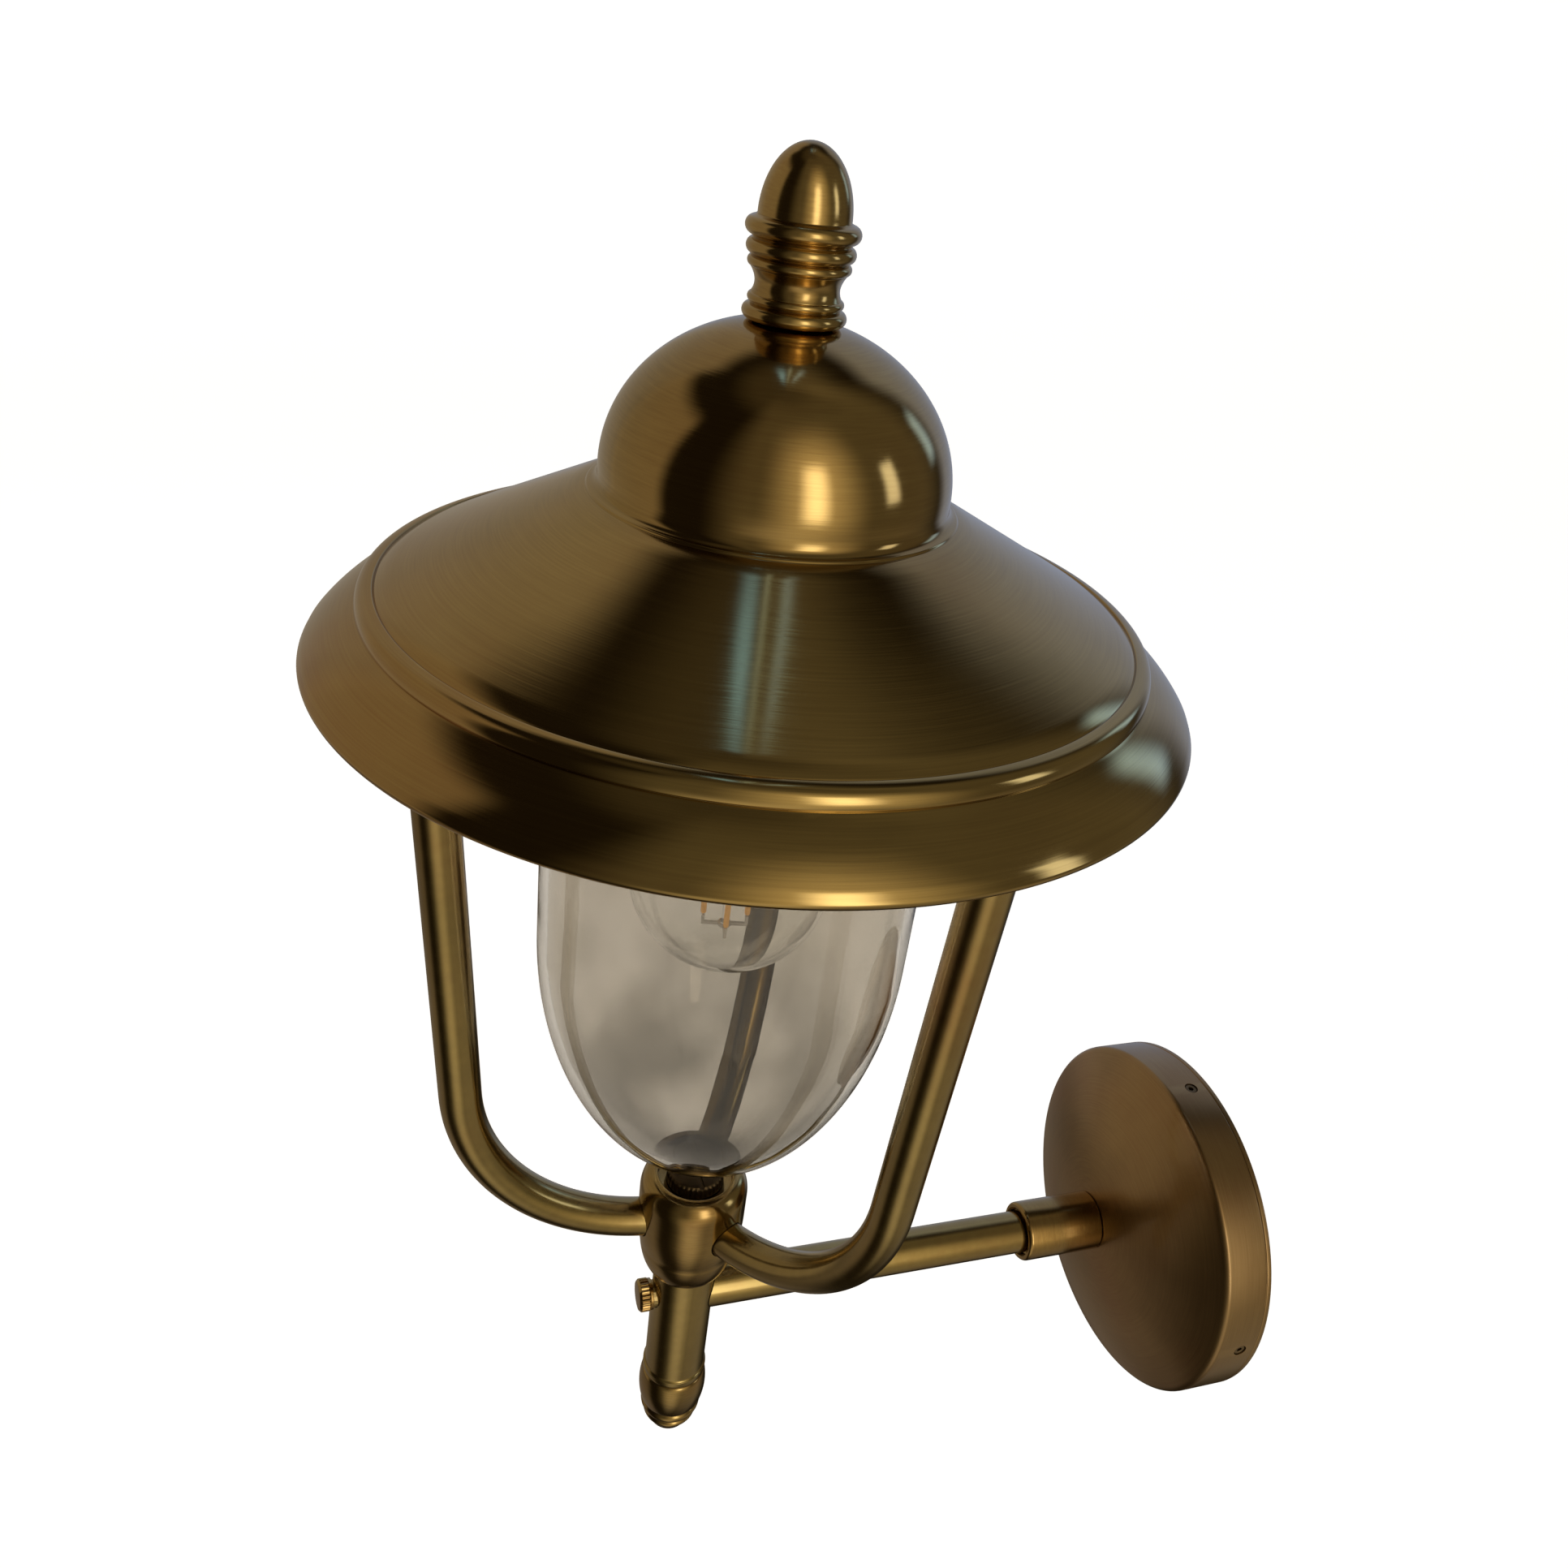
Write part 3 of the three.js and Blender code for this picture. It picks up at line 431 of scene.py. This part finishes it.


# Heights of the bell's painted dark reflection, over its round end.
PAINTED_REFLECTION_HEIGHTS = (GLASS_Z - GLASS_RISE, GLASS_Z)
GOLD = (0.56, 0.395, 0.145, 1)
BROWN = (0.33, 0.225, 0.08, 1)
TUBE_GOLD = (0.52, 0.39, 0.15, 1)
TUBE_BROWN = (0.38, 0.28, 0.11, 1)
FINISH = {
    "hood_brass": aged_brass("hood_brass", GOLD, BROWN, 0.095, anisotropy=0.5, patina=11.0),
    "turned_brass": aged_brass("turned_brass", GOLD, BROWN, 0.15, anisotropy=0.3, patina=30.0),
    "tube_brass": aged_brass("tube_brass", TUBE_GOLD, TUBE_BROWN, 0.19, brushed=False),
    "plate_brass": aged_brass("plate_brass", (0.48, 0.32, 0.15, 1), (0.30, 0.19, 0.09, 1), 0.3, patina=20.0),
    "dark_brass": plated("dark_brass", (0.16, 0.11, 0.055, 1), (0.08, 0.055, 0.03, 1), 0.42),
    "screw_brass": plated("screw_brass", (0.34, 0.25, 0.14, 1), (0.14, 0.10, 0.06, 1), 0.4),
    "inner_brass": plated("inner_brass", (0.62, 0.47, 0.22, 1), (0.46, 0.33, 0.14, 1), 0.36),
    "zinc": plated("zinc", (0.62, 0.63, 0.65, 1), (0.44, 0.45, 0.47, 1), 0.36),
    "nickel": plated("nickel", (0.72, 0.69, 0.64, 1), (0.55, 0.52, 0.48, 1), 0.28),
    "porcelain": moulded("porcelain", (0.80, 0.76, 0.68, 1), (0.70, 0.65, 0.57, 1), 0.3, 200.0, 0.00003),
    "plastic": moulded("plastic", (0.64, 0.62, 0.56, 1), (0.54, 0.52, 0.47, 1), 0.42),
    "rubber": moulded("rubber", (0.035, 0.033, 0.031, 1), (0.018, 0.017, 0.016, 1), 0.75),
    "sheath": moulded("sheath", (0.06, 0.055, 0.05, 1), (0.035, 0.033, 0.03, 1), 0.55),
    # The bell's warm grey-beige tint is painted: the glass is clear, and the tint stands for the beige room
    # seen through it.
    "bell_glass": blown_glass("bell_glass", (0.655, 0.61, 0.54, 1), (0.585, 0.54, 0.465, 1), 0.0005, PAINTED_REFLECTION_HEIGHTS),
    "bulb_glass": blown_glass("bulb_glass", (0.985, 0.985, 0.98, 1), (0.96, 0.965, 0.965, 1), 0.0003),
    "phosphor": phosphor_coat("phosphor"),
}


def finish_piece(piece, body, nodes, finish):
    """Gives a new piece its finish, hides the CAD nodes it stands for, and attaches it to the body it moves
    with.
    """
    piece.data.materials.clear()
    piece.data.materials.append(FINISH[finish])
    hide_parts(*nodes)
    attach(piece, body)
    return piece


# Wall fitting

PLATE_SPHERE_R = (PLATE_R**2 + PLATE_RISE**2) / (2 * PLATE_RISE)
PLATE_SPHERE_Z = PLATE_DEPTH + PLATE_RISE - PLATE_SPHERE_R


def plate_face(r, inset=0.0):
    return PLATE_SPHERE_Z + math.sqrt((PLATE_SPHERE_R - inset) ** 2 - r**2)


def radial_tool(radius, inner, outer, z, degrees):
    """A round hole that runs outwards from the axis."""
    place = WALL @ Matrix.Rotation(math.radians(degrees), 4, "Z") @ Matrix.Translation((0, 0, z * MM))
    return rod_tool(radius, inner, outer, place @ Matrix.Rotation(math.pi / 2, 4, "Y"), 32)


def make_plate():
    inner = PLATE_R - PLATE_WALL
    hole = ARM_R + 0.4
    steps = 28
    radii = [PLATE_R + (hole - PLATE_R) * i / steps for i in range(steps + 1)]
    line_z = 2.6  # fine line turned round the rim, near the wall
    rim = [
        (inner, 0.5),
        (PLATE_R, 0.5),
        (PLATE_R, line_z - 0.3),
        (PLATE_R - 0.35, line_z),
        (PLATE_R, line_z + 0.3),
        (PLATE_R, PLATE_DEPTH - 1.6),
    ]
    dome_edge = (radii[1], plate_face(radii[1]))
    shoulder = sweep((PLATE_R, PLATE_DEPTH - 1.5), (PLATE_R, PLATE_DEPTH), dome_edge, 8)[1:]
    outside = [(r, plate_face(r)) for r in radii[2:]]
    inside = [(min(r, inner), plate_face(min(r, inner), PLATE_WALL)) for r in reversed(radii)]
    plate = turned("plate_spun", rim + shoulder + outside + inside, WALL, FINE)
    for degrees in range(0, 360, 90):
        cut(plate, radial_tool(PLATE_HOLE_R, 62, PLATE_R + 3, PLATE_SCREW_Z, degrees))
    finish_piece(plate, "frame", ["wall_plate"], "plate_brass")


def make_sleeve():
    bore = ARM_R + 0.4
    outer = 11.7
    end = 71
    outline = [
        (bore, plate_face(bore) + GAP),
        (outer, plate_face(outer) + GAP),
        (outer, end - 1.6),
        *arc(outer - 1.2, end - 1.6, 1.2, 1.6, 0, 90, 8)[1:],
        (bore + 1, end),
        (bore + 1, end - 3),
        (bore, end - 3.4),
    ]
    sleeve = turned("sleeve_turned", outline, WALL)
    finish_piece(sleeve, "frame", ["arm_sleeve"], "turned_brass")


def make_wall_arm():
    tube = turned("arm_tube", ring_outline(ARM_BORE_R, ARM_R, 26, REACH), WALL)
    upright = Matrix.Translation((0, -REACH * MM, 0))
    cut(tube, rod_tool(POST_R + GAP, -30, 30, upright))
    finish_piece(tube, "frame", ["wall_arm"], "tube_brass")


def make_arm_cap():
    face = REACH + POST_R + 0.4
    end = face + 5.4
    bore = NIPPLE_R + GAP
    outline = [
        (0, end - 1.4),
        (bore, end - 1.4),
        (bore, face),
        (5.8, face),
        (5.8, face + 1.1),
        (6.1, face + 1.5),
        (6.1, end - 1),
        (5.3, end - 0.1),
        (4.6, end),
        (0, end),
    ]
    ribs = (24, 0.45, face + 1.2, end - 0.9)
    cap = turned("arm_cap_knurled", outline, WALL, 192, 0.15, ribs)
    finish_piece(cap, "arm_cap", ["arm_cap"], "turned_brass")


# Lantern


def make_post():
    lip = POST_R + 0.7
    outline = [
        (POST_BORE_R, POST_END_Z),
        (POST_R - 0.2, POST_END_Z),
        *sweep((POST_R + 0.2, POST_END_Z + 0.2), (lip, POST_END_Z + 0.3), (lip, POST_END_Z + 2), 6),
        (lip, POST_END_Z + 3.2),
        *sweep((lip, POST_END_Z + 3.4), (POST_R, POST_END_Z + 3.7), (POST_R, POST_END_Z + 4.7), 6),
        (POST_R, POST_TOP_Z),
        (POST_SPIGOT_R, POST_TOP_Z),
        (POST_SPIGOT_R, POST_TOP_Z + 7.8),
        (POST_BORE_R, POST_TOP_Z + 7.8),
    ]
    post = turned("post_tube", outline)
    cut(post, rod_tool(NIPPLE_R + GAP, REACH - 20, REACH + 20, WALL, 32))
    finish_piece(post, "frame", ["post"], "tube_brass")


def make_bottom_finial():
    shoulder = POST_END_Z - GAP
    outline = [
        (0, shoulder - 35.4),
        *arc(0, shoulder - 28.4, 8.5, 7, -86, 0, 14),
        (9.2, shoulder - 28),
        *bead(10.5, shoulder - 25.6, 1.8),
        *bead(11.8, shoulder - 20.5, 2.5),
        (11.7, shoulder - 17.7),
        *sweep((12, shoulder - 17.2), (14.2, shoulder - 8.6), (12.2, shoulder - 0.6), 16),
        (11.8, shoulder),
        (POST_BORE_R - GAP, shoulder),
        (POST_BORE_R - GAP, POST_END_Z + 8),
        (0, POST_END_Z + 8),
    ]
    finial = turned("bottom_finial_turned", outline, segments=96)
    finish_piece(finial, "frame", ["bottom_finial"], "turned_brass")


def leg_point(angle):
    """Centre of a lantern arm on its bend, as (distance from the axis, height)."""
    start_r, start_z = LEG_BEND_START
    r = start_r - LEG_BEND_R * (math.cos(LEG_LEAN) - math.cos(angle))
    z = start_z - LEG_BEND_R * (math.sin(angle) - math.sin(LEG_LEAN))
    return Vector((r, z))


def leg_line():
    """Centre line of a lantern arm, as (point, direction) pairs from the hub to the hood."""
    steps = 44
    straight_steps = 8
    into_hub = 8
    angles = [LEG_LEAN + LEG_BEND * (1 - i / steps) for i in range(steps + 1)]
    bend = [(leg_point(a), Vector((math.sin(a), math.cos(a)))) for a in angles]
    first, direction = bend[0]
    last, rise = bend[-1]
    straight = (LEG_TOP_Z - last.y) / rise.y
    tail = [(last + rise * straight * (i + 1) / straight_steps, rise) for i in range(straight_steps)]
    return [(first - direction * into_hub, direction), *bend, *tail]


def thread_outline(radius, low, high, pitch=0.8):
    """The roots and crests of a fine thread, as closed rings between two heights."""
    root = radius - 0.3
    count = int((high - low) / pitch)
    points = [(root, low)]
    for i in range(count):
        points.append((radius, low + (i + 0.5) * pitch))
        points.append((root, low + (i + 1) * pitch))
    return points


def make_leg(side, azimuth):
    sides = 48
    bm = bmesh.new()
    walls = []
    for radius in (LEG_R, LEG_BORE_R):
        rings = []
        for point, direction in leg_line():
            ring = []
            for i in range(sides):
                angle = 2 * math.pi * i / sides
                out = radius * math.cos(angle)
                r = point.x + out * direction.y
                z = point.y - out * direction.x
                ring.append(bm.verts.new((r * MM, radius * math.sin(angle) * MM, z * MM)))
            rings.append(ring)
        walls.append(rings)
    outer, inner = walls
    pairs = [*zip(outer, outer[1:]), (outer[-1], inner[-1]), *zip(inner, inner[1:]), (inner[0], outer[0])]
    for low, high in pairs:
        for i in range(sides):
            j = (i + 1) % sides
            bm.faces.new((low[i], low[j], high[j], high[i]))
    place = LANTERN @ Matrix.Rotation(math.radians(azimuth), 4, "Z")
    leg = as_object(f"lantern_arm_{side}_bent", bm, place)
    finish_piece(leg, "frame", [f"lantern_arm_{side}"], "tube_brass")


def make_leg_neck(side, azimuth):
    """The threaded end of a lantern arm, which goes through the spider plate and takes a nut."""
    shoulder = LEG_R - 0.7
    bore = 3.3
    outline = [
        (bore, LEG_TOP_Z - 2.4),
        (shoulder, LEG_TOP_Z - 2.4),
        (shoulder, LEG_TOP_Z),
        *thread_outline(LEG_NECK_R, LEG_TOP_Z + 0.6, LEG_TOP_Z + 8.4),
        (bore, LEG_TOP_Z + 9),
    ]
    top, _ = leg_line()[-1]
    turn = LANTERN @ Matrix.Rotation(math.radians(azimuth), 4, "Z")
    place = turn @ Matrix.Translation((top.x * MM, 0, 0))
    neck = turned(f"lantern_arm_{side}_neck", outline, place, corner=0.15)
    finish_piece(neck, "frame", [f"lantern_arm_{side}"], "inner_brass")


def make_hub():
    body = [
        (HUB_SOCKET_R, HUB_BOTTOM),
        (12.2, HUB_BOTTOM),
        *sweep((12.8, HUB_BOTTOM + 0.9), (16.9, HUB_BOTTOM + 4.5), (17.9, HUB_BOTTOM + 14.8), 14),
        *sweep((17.9, HUB_BOTTOM + 15), (HUB_R, HUB_BOTTOM + 22), (HUB_R, HUB_BOTTOM + 29), 6),
        (HUB_R, HUB_TOP - 9),
        *arc(HUB_R - 5, HUB_TOP - 8, 5, 8, 5, 85, 14),
        (HUB_RECESS, HUB_TOP),
        (HUB_RECESS, HUB_FLOOR),
        (HUB_BORE, HUB_FLOOR),
        (HUB_BORE, HUB_BOTTOM + 8.5),
        (HUB_SOCKET_R, HUB_BOTTOM + 8.1),
    ]
    hub = turned("hub_turned", body, segments=128)
    start, direction = leg_line()[0]
    tilt = math.atan2(direction.x, direction.y)
    for azimuth in LEG_AZIMUTHS.values():
        place = LANTERN @ Matrix.Rotation(math.radians(azimuth), 4, "Z")
        place = place @ Matrix.Translation((start.x * MM, 0, start.y * MM)) @ Matrix.Rotation(tilt, 4, "Y")
        cut(hub, rod_tool(LEG_R + GAP, -5, 30, place))
    finish_piece(hub, "frame", ["hub"], "turned_brass")


def make_hub_cap():
    underside = HUB_FLOOR + GAP
    top = underside + 5.2
    outline = [
        (0, HUB_FLOOR - 7),
        (HUB_BORE - GAP, HUB_FLOOR - 7),
        (HUB_BORE - GAP, underside),
        (10.2, underside),
        (10.2, top - 1.2),
        (9.4, top - 0.3),
        (8.4, top),
        (0, top),
    ]
    ribs = (36, 0.45, underside + 0.4, top - 1)
    cap = turned("hub_cap_knurled", outline, segments=288, corner=0.2, ribs=ribs)
    cut(cap, box_tool((40, 1.8, 2), LANTERN @ Matrix.Translation((0, 0, top * MM))))
    finish_piece(cap, "hub_cap", ["hub_cap"], "dark_brass")


# Hood


def make_hood():
    rim = 1.6
    rod_hole = ROD_R + 0.6
    crown = DOME_Z + DOME_RISE
    groove = 0.5
    steps = 12
    cone = [(100.3 - 51.1 * i / steps, 16.1 + 26.3 * i / steps) for i in range(steps + 1)]
    outside = [
        *arc(HOOD_R - rim, HOOD_RIM_Z, rim, rim, -100, 40, 12),
        *sweep((119, -0.4), (114, 5.9), (106.2, 10.4), 16),
        (105.8 - groove, 10.9),
        *sweep((105.8, 11.2), (105.8, 15.6), (101.2, 15.9), 14),
        (100.9, 15.9 - groove),
        cone[0],
        *cone[1:],
        (48.7, 42.5),
        *sweep((48.3, 43.1), (46.2, 43.6), (DOME_R, 45.6), 6),
        (DOME_R, DOME_Z),
        *arc(0, DOME_Z, DOME_R, DOME_RISE, 0, 84, 40)[1:],
        (rod_hole, crown - 0.2),
    ]
    inner_r = DOME_R - HOOD_WALL
    inside = [
        (rod_hole, crown - HOOD_WALL),
        *arc(0, DOME_Z, inner_r, DOME_RISE - HOOD_WALL, 80, 0, 24),
        (inner_r, 44.2),
        (100.2, 14.7),
        (104.6, 9.8),
        (112.4, 5.1),
        (117, -0.9),
    ]
    hood = turned("hood_spun", outside + inside, segments=256, corner=0.25)
    finish_piece(hood, "hood", ["hood"], "hood_brass")


def make_finial():
    bore = ROD_R + GAP
    seat = DOME_Z + DOME_RISE + GAP
    outline = [
        (bore, seat),
        (7, seat - 0.4),
        *bead(12.95, 88.2, 1.8),
        *bead(11.9, 91.4, 1.1),
        *sweep((11.2, 92.4), (9.4, 95), (11.8, 98.3), 10),
        *bead(12.7, 99.6, 1.3),
        *bead(13.35, 102.9, 1.9),
        *bead(14, 107.4, 2.1),
        *arc(0, 109.9, 11.3, 16.6, 0, 88, 26),
        (0, 126.5),
        (0, 109.4),
        (bore, 108.6),
    ]
    from_axis = outline[-2:] + outline[:-2]
    finial = turned("hood_finial_turned", from_axis, segments=128, corner=0.2)
    finish_piece(finial, "finial", ["hood_finial"], "turned_brass")


# Glass and bulb


def make_bell():
    inner = GLASS_R - GLASS_WALL
    top = SPIDER_Z - GAP - 4.1
    neck = GLASS_NECK_R - GLASS_WALL
    outline = [
        (0, GLASS_Z - GLASS_RISE),
        *arc(0, GLASS_Z, GLASS_R, GLASS_RISE, -88, 0, 44),
        (GLASS_R, -66),
        *sweep((GLASS_R, -32), (GLASS_R, -23), (GLASS_NECK_R, -18), 10),
        (GLASS_NECK_R, top),
        (neck, top),
        *sweep((neck, -19), (inner, -24), (inner, -33), 10),
        (inner, -66),
        *arc(0, GLASS_Z, inner, GLASS_RISE - GLASS_WALL, 0, -88, 44),
        (0, GLASS_Z - GLASS_RISE + GLASS_WALL),
    ]
    bell = turned("bell_blown", outline, segments=192, corner=0.8)
    finish_piece(bell, "glass", ["glass_bell"], "bell_glass")


def bulb_neck(inset, steps):
    """Side of the bulb from its round end up to its neck."""
    lift = math.radians(35)
    r = BULB_R - inset
    start = Vector((r * math.cos(lift), BULB_Z + r * math.sin(lift)))
    end = Vector((BULB_NECK_R - inset, BULB_COLLAR_Z - GAP))
    leave = start + Vector((-11 * math.sin(lift), 11 * math.cos(lift)))
    arrive = end + Vector((0, -13))
    points = []
    for i in range(steps + 1):
        t = i / steps
        weights = ((1 - t) ** 3, 3 * t * (1 - t) ** 2, 3 * t * t * (1 - t), t**3)
        pulls = [w * p for w, p in zip(weights, (start, leave, arrive, end))]
        points.append(tuple(sum(pulls, Vector((0, 0)))))
    return points


def make_bulb():
    inner = BULB_R - BULB_WALL
    outline = [
        (0, BULB_Z - BULB_R),
        *arc(0, BULB_Z, BULB_R, BULB_R, -87, 35, 40),
        *bulb_neck(0, 16)[1:],
        *reversed(bulb_neck(BULB_WALL, 16)),
        *arc(0, BULB_Z, inner, inner, 35, -87, 40)[1:],
        (0, BULB_Z - inner),
    ]
    bulb = turned("bulb_blown", outline, segments=128, corner=0.1)
    finish_piece(bulb, "bulb", ["bulb_glass"], "bulb_glass")


def make_filament(number, azimuth):
    radius = 0.9
    low = FILAMENT_END_Z
    high = low + FILAMENT_LENGTH
    outline = [
        (0, low),
        *arc(0, low + radius, radius, radius, -80, 0, 6),
        *arc(0, high - radius, radius, radius, 0, 80, 6),
        (0, high),
    ]
    turn = Matrix.Rotation(math.radians(azimuth), 4, "Z")
    place = LANTERN @ turn @ Matrix.Translation((FILAMENT_RING_R * MM, 0, 0))
    filament = turned(f"filament_{number}_coated", outline, place, 24, 0)
    finish_piece(filament, "bulb", [f"filament_{number}"], "phosphor")


# CAD pieces that are shown as they are, with their finish

KEPT = {
    "zinc": [
        "wall_bracket",
        "rod_bridge",
        "bridge_screw",
        "gallery_screw",
        "hood_rod",
        "rod_nut",
        "hood_seat",
    ],
    "screw_brass": ["plate_screw"],
    "inner_brass": [
        "terminal_screw",
        "earth_screw",
        "arm_lock_nut",
        "arm_plug",
        "arm_nipple",
        "lantern_arm_nut",
        "spider",
        "glass_gallery",
        "holder_thread",
        "holder_contact",
    ],
    "nickel": ["bulb_cap", "bulb_contact", "filament_wires"],
    "porcelain": ["holder_insert"],
    "plastic": ["terminal_block", "holder_shell"],
    "rubber": ["glass_gasket"],
    "sheath": ["inner_lead"],
    "bulb_glass": ["bulb_stem"],
}


def finish_cad_pieces():
    """Each shown CAD node gets its finish, and small rounds on its edges that catch the light."""
    for finish, starts in KEPT.items():
        for name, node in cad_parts.items():
            if node.hide_render or not name.startswith(tuple(starts)):
                continue
            node.data.materials.clear()
            node.data.materials.append(FINISH[finish])
            weld = node.modifiers.new("weld", "WELD")
            weld.merge_threshold = 0.01 * MM
            bevel = node.modifiers.new("rounds", "BEVEL")
            bevel.width = 0.15 * MM
            bevel.segments = 2
            bevel.angle_limit = CREASE
            bevel.limit_method = "ANGLE"


# Stage, lights and camera


def make_floor():
    """A pale floor, well below the lantern, that curves up into a pale backdrop all round and overhead."""
    clearance = 500  # from the lowest point of the lantern to the floor
    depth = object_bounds()[0].z / MM - clearance
    reach = 6000
    bend = 0.4 * reach
    outline = [
        (0, depth),
        (reach - bend, depth),
        *arc(reach - bend, depth + bend, bend, bend, -90, 0, 24)[1:],
        *arc(0, depth + bend, reach, reach, 0, 90, 24)[1:-1],
        (0, depth + bend + reach),
    ]
    floor = turned("floor", outline, Matrix.Identity(4), FINE, corner=0)
    made, shader, surface = material("floor")
    place = shader.node("ShaderNodeTexCoord").outputs["Object"]
    grain = shader.noise(place, 3.0, 2.0)
    link(shader, shader.mix(grain, (0.86, 0.86, 0.86, 1), (0.9, 0.9, 0.9, 1)), surface, "Base Color")
    surface.inputs["Roughness"].default_value = 0.9
    surface.inputs["Specular IOR Level"].default_value = 0.0
    surface.inputs["Emission Color"].default_value = (1, 1, 1, 1)
    surface.inputs["Emission Strength"].default_value = 0.85
    floor.data.materials.append(made)
    floor.visible_glossy = False
    floor.visible_diffuse = False
    floor.visible_shadow = False


# The room that the brass reflects: soft panels in a dim brown studio. Each has the azimuth and elevation of
# its middle, its half-width and half-height, the softness of its edges, all in degrees, its colour and its
# strength. Azimuth 0 is straight out from the wall and 90 is along +X.
ROOM_COLOUR = (0.016, 0.012, 0.007)
ROOM_PANELS = {
    "left wall": (-28, 8, 26, 36, 6, (1.0, 0.83, 0.58), 0.27),
    "left corner": (-76, 14, 22, 42, 7, (1.0, 0.88, 0.70), 0.28),
    "far wall": (-126, 8, 28, 40, 8, (0.58, 0.66, 0.86), 0.44),
    "front wall": (118, 10, 76, 64, 16, (1.0, 0.88, 0.58), 0.115),
    "low light": (-60, -54, 60, 24, 14, (1.0, 0.82, 0.62), 0.16),
    "front floor": (78, -40, 20, 24, 16, (1.0, 0.88, 0.66), 0.42),
    "side floor": (140, -46, 34, 24, 14, (1.0, 0.86, 0.66), 0.14),
    "ceiling": (0, 90, 180, 20, 8, (1.0, 0.86, 0.55), 0.05),
    "ceiling corner": (-150, 78, 40, 12, 12, (1.0, 0.90, 0.62), 0.07),
    "window glow": (100, 16, 20, 34, 20, (1.0, 0.84, 0.54), 0.70),
    "window": (99, 14, 7, 20, 6, (1.0, 0.96, 0.84), 1.80),
    "narrow window": (153, 14, 5, 12, 3, (0.92, 0.98, 1.0), 1.40),
    "wall window": (-162, 17, 4, 10, 4, (0.36, 0.60, 1.0), 1.25),
    "skylight": (-98, 79, 6, 4, 5, (0.20, 0.48, 1.0), 1.40),
    "small skylight": (-128, 77, 3, 5, 3, (0.30, 0.56, 1.0), 0.95),
    "narrow skylight": (-112, 78, 1.5, 6, 1.5, (0.50, 0.75, 1.0), 0.80),
}


def room_panel(shader, direction, azimuth, elevation, half_width, half_height, soft):
    """1 inside a panel of the room and 0 outside it, by the direction looked in."""
    turn = math.radians(azimuth)
    ahead = (math.sin(turn), -math.cos(turn), 0)
    aside = (math.cos(turn), math.sin(turn), 0)
    forward = shader.dot(direction, ahead)
    sideways = shader.dot(direction, aside)
    height = shader.node("ShaderNodeSeparateXYZ", {0: direction}).outputs[2]
    across = shader.math("ABSOLUTE", shader.math("ARCTAN2", sideways, forward))
    rise = shader.math("SUBTRACT", shader.math("ARCSINE", height), math.radians(elevation))
    inside = []
    for value, half in ((across, half_width), (shader.math("ABSOLUTE", rise), half_height)):
        edge = math.radians(half)
        fade = math.radians(soft)
        inside.append(shader.spread(value, edge + fade, edge - fade, smooth=True))
    return shader.math("MULTIPLY", *inside)


def make_room():
    world = bpy.data.worlds.new("studio")
    world.use_nodes = True
    bpy.context.scene.world = world
    shader = Shader(world.node_tree)
    direction = shader.node("ShaderNodeTexCoord").outputs["Generated"]
    total = (*ROOM_COLOUR, 1)
    for *panel, colour, strength in ROOM_PANELS.values():
        share = room_panel(shader, direction, *panel)
        glow = (*[c * strength for c in colour], 1)
        inputs = {0: share, 6: total, 7: glow}
        total = shader.node("ShaderNodeMix", inputs, data_type="RGBA", blend_type="ADD").outputs[2]
    background = shader.node("ShaderNodeBackground", {"Color": total, "Strength": 1.0})
    output = shader.node("ShaderNodeOutputWorld")
    world.node_tree.links.new(background.outputs[0], output.inputs[0])


def softbox(name, position, target, width, height, power, colour):
    """A soft rectangular light, aimed at a point."""
    lamp = bpy.data.lights.new(name, "AREA")
    lamp.shape = "RECTANGLE"
    lamp.size = width
    lamp.size_y = height
    lamp.energy = power
    lamp.color = colour
    made = bpy.data.objects.new(name, lamp)
    bpy.context.scene.collection.objects.link(made)
    made.visible_glossy = False
    made.location = position
    made.rotation_euler = (Vector(target) - Vector(position)).to_track_quat("-Z", "Y").to_euler()


def make_lights():
    middle = LANTERN.translation
    softbox("key", (1.9, -0.2, 0.5), middle, 0.3, 0.8, 3, (1.0, 0.93, 0.82))
    softbox("fill", (-2.0, -0.6, 1.3), middle, 1.2, 1.2, 3, (1.0, 0.92, 0.82))


def make_camera():
    """The camera at the photograph's viewing angle. Its place is measured from the lantern's axis at the
    height of the hood's rim."""
    azimuth, elevation, roll = (math.radians(a) for a in (69.546, 29.885, 7.657))
    place = Vector((314.62, -103.64, 147.05)) * MM + LANTERN.translation
    level = math.cos(elevation)
    back = Vector((math.sin(azimuth) * level, -math.cos(azimuth) * level, math.sin(elevation)))
    right = Vector((math.cos(azimuth), math.sin(azimuth), 0))
    up = back.cross(right)
    camera_x = right * math.cos(roll) + up * math.sin(roll)
    camera_y = up * math.cos(roll) - right * math.sin(roll)
    turn = Matrix((camera_x, camera_y, back)).transposed().to_4x4()
    lens = bpy.data.cameras.new("camera")
    lens.sensor_width = 36
    lens.lens = 29.8
    lens.clip_start = 0.01
    lens.clip_end = 50
    camera = bpy.data.objects.new("camera", lens)
    bpy.context.scene.collection.objects.link(camera)
    camera.matrix_world = Matrix.Translation(place) @ turn
    bpy.context.scene.camera = camera


make_plate()
make_sleeve()
make_wall_arm()
make_arm_cap()
make_post()
make_bottom_finial()
for arm_side, arm_azimuth in LEG_AZIMUTHS.items():
    make_leg(arm_side, arm_azimuth)
    make_leg_neck(arm_side, arm_azimuth)
make_hub()
make_hub_cap()
make_hood()
make_finial()
make_bell()
make_bulb()
for filament_number, filament_azimuth in enumerate(FILAMENT_AZIMUTHS, 1):
    make_filament(filament_number, filament_azimuth)
finish_cad_pieces()
make_floor()
make_room()
make_lights()
make_camera()
bpy.context.scene.view_settings.view_transform = "Standard"
